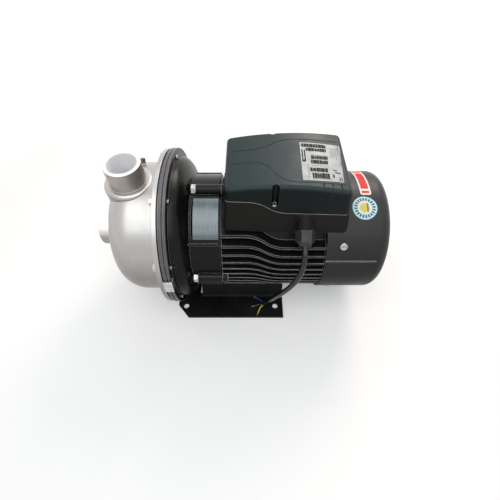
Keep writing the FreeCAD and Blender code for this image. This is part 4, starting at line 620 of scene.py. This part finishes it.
def floor_finish():
    """Matt floor that goes over into the backdrop's white far from the pump."""
    material, tree, principled = start("floor", 0.0, 0.0)
    principled.inputs["Base Color"].default_value = floor_paint
    principled.inputs["Roughness"].default_value = floor_roughness
    place = add(tree, "TexCoord")
    reach = add(tree, "VectorMath", operation="LENGTH")
    tree.links.new(place.outputs["Object"], reach.inputs[0])
    share = ranged(tree, reach.outputs["Value"], floor_glow, 1.0, glow_start, glow_end)
    glow = add(tree, "Emission", Color=backdrop)
    tree.links.new(maths(tree, "MULTIPLY", seen_rays(tree), share), glow.inputs["Strength"])
    both = add(tree, "AddShader")
    tree.links.new(principled.outputs["BSDF"], both.inputs[0])
    tree.links.new(glow.outputs["Emission"], both.inputs[1])
    output = next(made for made in tree.nodes if made.bl_idname == "ShaderNodeOutputMaterial")
    tree.links.new(both.outputs["Shader"], output.inputs["Surface"])
    return material


def make_floor():
    """Large pale floor that keeps the shadow near the pump."""
    mesh = bpy.data.meshes.new("floor")
    corners = [(-floor_half, -floor_half, 0), (floor_half, -floor_half, 0), (floor_half, floor_half, 0),
               (-floor_half, floor_half, 0)]
    mesh.from_pydata(corners, [], [(0, 1, 2, 3)])
    mesh.materials.append(floor_finish())
    floor = bpy.data.objects.new("floor", mesh)
    bpy.context.scene.collection.objects.link(floor)
    floor.location = (0.0, 0.0, -floor_drop)


# Pieces

def piece_of(name, builder, material):
    """Object from a bmesh, with its finish, on the housing."""
    mesh = bpy.data.meshes.new(name)
    builder.to_mesh(mesh)
    builder.free()
    for polygon in mesh.polygons:
        polygon.use_smooth = True
    mesh.materials.append(material)
    made = bpy.data.objects.new(name, mesh)
    bpy.context.scene.collection.objects.link(made)
    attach(made, "housing")


def make_cord():
    """Rubber cord on one smooth line from the gland to its bare end on the foot."""
    exit_point = gland_face + gland_axis * gland_reach
    points = [exit_point, exit_point + gland_axis * cord_lead] + [Vector(point) for point in cord_route]
    curve = bpy.data.curves.new("cord", "CURVE")
    curve.dimensions = "3D"
    spline = curve.splines.new("NURBS")
    spline.points.add(len(points) - 1)
    for place, point in zip(spline.points, points):
        place.co = (*point, 1.0)
    spline.order_u = 3
    spline.use_endpoint_u = True
    spline.resolution_u = cord_steps
    curve.bevel_depth = cord_diameter / 2
    curve.bevel_resolution = cord_resolution
    curve.use_fill_caps = True
    curve.materials.append(finishes["cord_sheath"])
    cord = bpy.data.objects.new("cord", curve)
    bpy.context.scene.collection.objects.link(cord)
    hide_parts("power_cord")
    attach(cord, "housing")


def surface_of(node):
    """Search tree over a CAD node's faces."""
    mesh = nodes[node].data
    return BVHTree.FromPolygons([vertex.co.copy() for vertex in mesh.vertices],
                                [tuple(polygon.vertices) for polygon in mesh.polygons])


def plate_point(u, v):
    """Place on the rating plate seen from above, between its corners."""
    far_left, far_right, near_right, near_left = [Vector(corner) for corner in plate_corners]
    far = far_left.lerp(far_right, u)
    near = near_left.lerp(near_right, u)
    return far.lerp(near, v)


def plate_patches(name, cover, rectangles, lift, material):
    """Thin rectangles that lie on the box cover, a lift above it."""
    builder = bmesh.new()
    for u_low, u_high, v_low, v_high in rectangles:
        columns = max(1, math.ceil((u_high - u_low) / plate_cell))
        rows = max(1, math.ceil((v_high - v_low) / plate_cell))
        grid = []
        for row in range(rows + 1):
            line = []
            for column in range(columns + 1):
                place = plate_point(u_low + (u_high - u_low) * column / columns,
                                    v_low + (v_high - v_low) * row / rows)
                above = Vector((place.x, place.y, above_everything))
                hit = cover.ray_cast(above, Vector((0.0, 0.0, -1.0)))[0]
                line.append(builder.verts.new((place.x, place.y, hit.z + lift)))
            grid.append(line)
        for far, near in zip(grid, grid[1:]):
            for column in range(columns):
                builder.faces.new([far[column], near[column], near[column + 1], far[column + 1]])
    piece_of(name, builder, material)


def print_marks():
    """Blank dark cells that fill the plate's rows."""
    draw = random.Random(cell_seed)
    marks = []
    for u_start, u_end, v_low, v_high in print_rows:
        u = u_start
        while u < u_end - cell_least:
            width = draw.uniform(*cell_widths)
            inset = draw.choice(cell_insets)
            marks.append((u, min(u + width, u_end), v_low + inset, v_high - inset * 0.5))
            u += width + draw.uniform(*cell_spaces)
    return marks


def ruled_lines():
    """Fine lines of the rating plate: between the rows, down its right side, and ticks at its left."""
    lines = [(*row_rule_span, v, v + row_rule_height) for v in row_rules]
    lines += [(u, u + side_rule_width, side_rule_start, side_rule_start + length)
              for u, length in side_rules]
    lines += [(*side_tick_span, v, v + side_tick_height) for v in side_ticks]
    return lines


def make_plate():
    """Silver rating plate with blank fields in place of its words."""
    cover = surface_of("terminal_box_cover")
    silver = surface("plate_silver", (0.36, 0.385, 0.40), (0.30, 0.325, 0.34), (0.36, 0.50),
                     metallic=0.2, patch=60.0, grain=2000.0, specular=0.3)
    ink = surface("plate_ink", (0.010, 0.011, 0.013), (0.020, 0.021, 0.023), (0.5, 0.6),
                  patch=200.0, specular=0.15)
    rule = surface("plate_rule", (0.09, 0.15, 0.15), (0.07, 0.12, 0.12), (0.4, 0.5), patch=200.0)
    plate_patches("rating_plate", cover, [(0.0, 1.0, 0.0, 1.0)], plate_lift, silver)
    plate_patches("plate_cells", cover, print_marks() + print_bars, plate_lift + print_lift, ink)
    plate_patches("plate_rules", cover, ruled_lines(), plate_lift + print_lift, rule)


def cover_patch(name, centre_x, centre_angle, half_x, half_arc, corner, material):
    """Film bent round the fan cover with rounded corners, with UVs from 0 to 1."""
    builder = bmesh.new()
    uv = builder.loops.layers.uv.new("sticker")
    radius = cover_radius + sticker_lift
    grid = []
    for row in range(sticker_rows + 1):
        along = -patch_end * math.cos(math.pi * row / sticker_rows)
        past = max(0.0, abs(along) * half_arc - half_arc + corner)
        width = half_x - corner + math.sqrt(corner ** 2 - past ** 2)
        angle = math.radians(centre_angle) + along * half_arc / cover_radius
        line = []
        for column in range(sticker_columns + 1):
            across = (2.0 * column / sticker_columns - 1.0) * width / half_x
            vertex = builder.verts.new((centre_x + across * half_x, -radius * math.cos(angle),
                                        radius * math.sin(angle) + shaft_height))
            line.append((vertex, (across * 0.5 + 0.5, along * 0.5 + 0.5)))
        grid.append(line)
    for low, high in zip(grid, grid[1:]):
        for column in range(sticker_columns):
            corners = [low[column], low[column + 1], high[column + 1], high[column]]
            face = builder.faces.new([vertex for vertex, spot in corners])
            for loop, (vertex, spot) in zip(face.loops, corners):
                loop[uv].uv = spot
    piece_of(name, builder, material)


def patch_coordinates(tree):
    """Sticker coordinates from -1 to 1: across and along."""
    place = add(tree, "TexCoord")
    parts = add(tree, "SeparateXYZ")
    tree.links.new(place.outputs["UV"], parts.inputs["Vector"])
    centred = [maths(tree, "SUBTRACT", parts.outputs[axis], 0.5) for axis in ("X", "Y")]
    return [maths(tree, "MULTIPLY", value, 2.0) for value in centred]


def band(tree, value, low, high):
    """One between two limits and zero outside."""
    return maths(tree, "MULTIPLY", maths(tree, "GREATER_THAN", value, low),
                 maths(tree, "LESS_THAN", value, high))


def finish_sticker(tree, principled, paint):
    """Printed film with a soft sheen and a little unevenness."""
    paint_with(tree, principled, paint, ranged(tree, noise(tree, 90.0), 0.38, 0.50))
    bumped(tree, principled, [(noise(tree, 160.0), 0.0001, 0.2)])


def round_sticker_film():
    """White disc with a teal rim, a ring of blank teal ticks and a yellow middle."""
    material, tree, principled = start("round_sticker_film", 0.0, 0.25)
    across, along = patch_coordinates(tree)
    square = maths(tree, "ADD", maths(tree, "MULTIPLY", across, across),
                   maths(tree, "MULTIPLY", along, along))
    radius = maths(tree, "SQRT", square)
    angle = maths(tree, "ARCTAN2", along, across)
    beat = maths(tree, "SINE", maths(tree, "MULTIPLY", angle, 20.0))
    ticks = maths(tree, "MULTIPLY", maths(tree, "GREATER_THAN", beat, -0.40),
                  band(tree, radius, 0.60, 0.86))
    paint = mixed(tree, ticks, (0.80, 0.86, 0.88), (0.015, 0.18, 0.26))
    paint = mixed(tree, maths(tree, "GREATER_THAN", radius, 0.93), paint, (0.30, 0.74, 0.80))
    wavy = maths(tree, "ADD", radius, maths(tree, "MULTIPLY", noise(tree, 260.0), 0.22))
    paint = mixed(tree, maths(tree, "LESS_THAN", wavy, 0.50), paint, (0.80, 0.68, 0.13))
    shade = maths(tree, "MULTIPLY", band(tree, across, 0.16, 0.30), band(tree, along, -0.34, 0.38))
    finish_sticker(tree, principled, mixed(tree, shade, paint, (0.28, 0.22, 0.20)))
    return material


def red_sticker_film():
    """Red field inside a white border, with a white bar near each end."""
    material, tree, principled = start("red_sticker_film", 0.0, 0.25)
    across, along = patch_coordinates(tree)
    side = maths(tree, "GREATER_THAN", maths(tree, "ABSOLUTE", across), 0.70)
    end = maths(tree, "GREATER_THAN", maths(tree, "ABSOLUTE", along), 0.90)
    bars = maths(tree, "MAXIMUM", band(tree, along, 0.60, 0.68), band(tree, along, -0.78, -0.66))
    white = maths(tree, "MAXIMUM", maths(tree, "MAXIMUM", side, end), bars)
    finish_sticker(tree, principled, mixed(tree, white, (0.74, 0.020, 0.010), (0.86, 0.84, 0.83)))
    return material


def make_stickers():
    """The two stickers on the fan cover, with blank marks in place of words."""
    cover_patch("round_sticker", round_sticker_x, round_sticker_angle, round_sticker_radius,
                round_sticker_radius, round_sticker_radius, round_sticker_film())
    cover_patch("red_sticker", red_sticker_x, red_sticker_angle, red_sticker_width / 2,
                red_sticker_length / 2, red_sticker_corner, red_sticker_film())


def weld_bead(name, centre, axis, radius, section, drops, material):
    """Weld bead round a collar, with one section on each drop and one between two."""
    builder = bmesh.new()
    first = axis.orthogonal().normalized()
    second = axis.cross(first)
    rows = []
    for step in range(2 * drops):
        angle = math.pi * step / drops
        outward = first * math.cos(angle) + second * math.sin(angle)
        swell = section * (1.0 + weld_swell * (-1) ** step)
        row = []
        for side in range(weld_sides):
            turn = 2 * math.pi * side / weld_sides
            row.append(builder.verts.new(centre + outward * (radius + swell * math.cos(turn))
                                         + axis * (swell * math.sin(turn))))
        rows.append(row)
    for low, high in zip(rows, rows[1:] + rows[:1]):
        for side in range(weld_sides):
            after = (side + 1) % weld_sides
            builder.faces.new([low[side], high[side], high[after], low[after]])
    piece_of(name, builder, material)


def make_welds():
    """Weld beads where the two port collars meet the casing."""
    weld = surface("weld", (0.50, 0.48, 0.45), (0.36, 0.34, 0.31), (0.35, 0.55),
                   metallic=1.0, patch=120.0, depth=0.0001)
    for name, (centre, axis, radius, section, drops) in welds.items():
        weld_bead(name, Vector(centre), Vector(axis), radius, section, drops, weld)


def add_strand(builder, end, along, strand):
    """One strand of a bare tip: those of the ring twist round the last, which runs down the middle."""
    side = along.cross(Vector((0.0, 0.0, 1.0))).normalized()
    up = side.cross(along)
    reach = 0.0 if strand == strand_count - 1 else strand_ring
    rows = []
    for step in range(strand_steps + 1):
        share = step / strand_steps
        turn = 2 * math.pi * (strand / (strand_count - 1) + share * strand_twist)
        middle = end + along * (strand_length * share - strand_start)
        middle += side * (reach * math.cos(turn)) + up * (reach * math.sin(turn))
        row = []
        for corner in range(strand_sides):
            spread = 2 * math.pi * corner / strand_sides
            row.append(builder.verts.new(middle + side * (strand_radius * math.cos(spread))
                                         + up * (strand_radius * math.sin(spread))))
        rows.append(row)
    for low, high in zip(rows, rows[1:]):
        for corner in range(strand_sides):
            after = (corner + 1) % strand_sides
            builder.faces.new([low[corner], low[after], high[after], high[corner]])
    builder.faces.new(rows[0][::-1])
    builder.faces.new(rows[-1])


def make_copper_tips():
    """Twisted bare strands at the end of each conductor."""
    bare_copper = surface("bare_copper", (0.80, 0.42, 0.24), (0.66, 0.32, 0.17), (0.25, 0.4),
                          metallic=1.0, patch=400.0)
    for name, (end, heading) in copper_tips.items():
        builder = bmesh.new()
        for strand in range(strand_count):
            add_strand(builder, Vector(end), Vector(heading).normalized(), strand)
        piece_of(name, builder, bare_copper)


dress_nodes()
make_camera()
make_cord()
make_room()
make_floor()
make_plate()
make_stickers()
make_welds()
make_copper_tips()
make_lamps()

bpy.context.scene.view_settings.view_transform = "Standard"
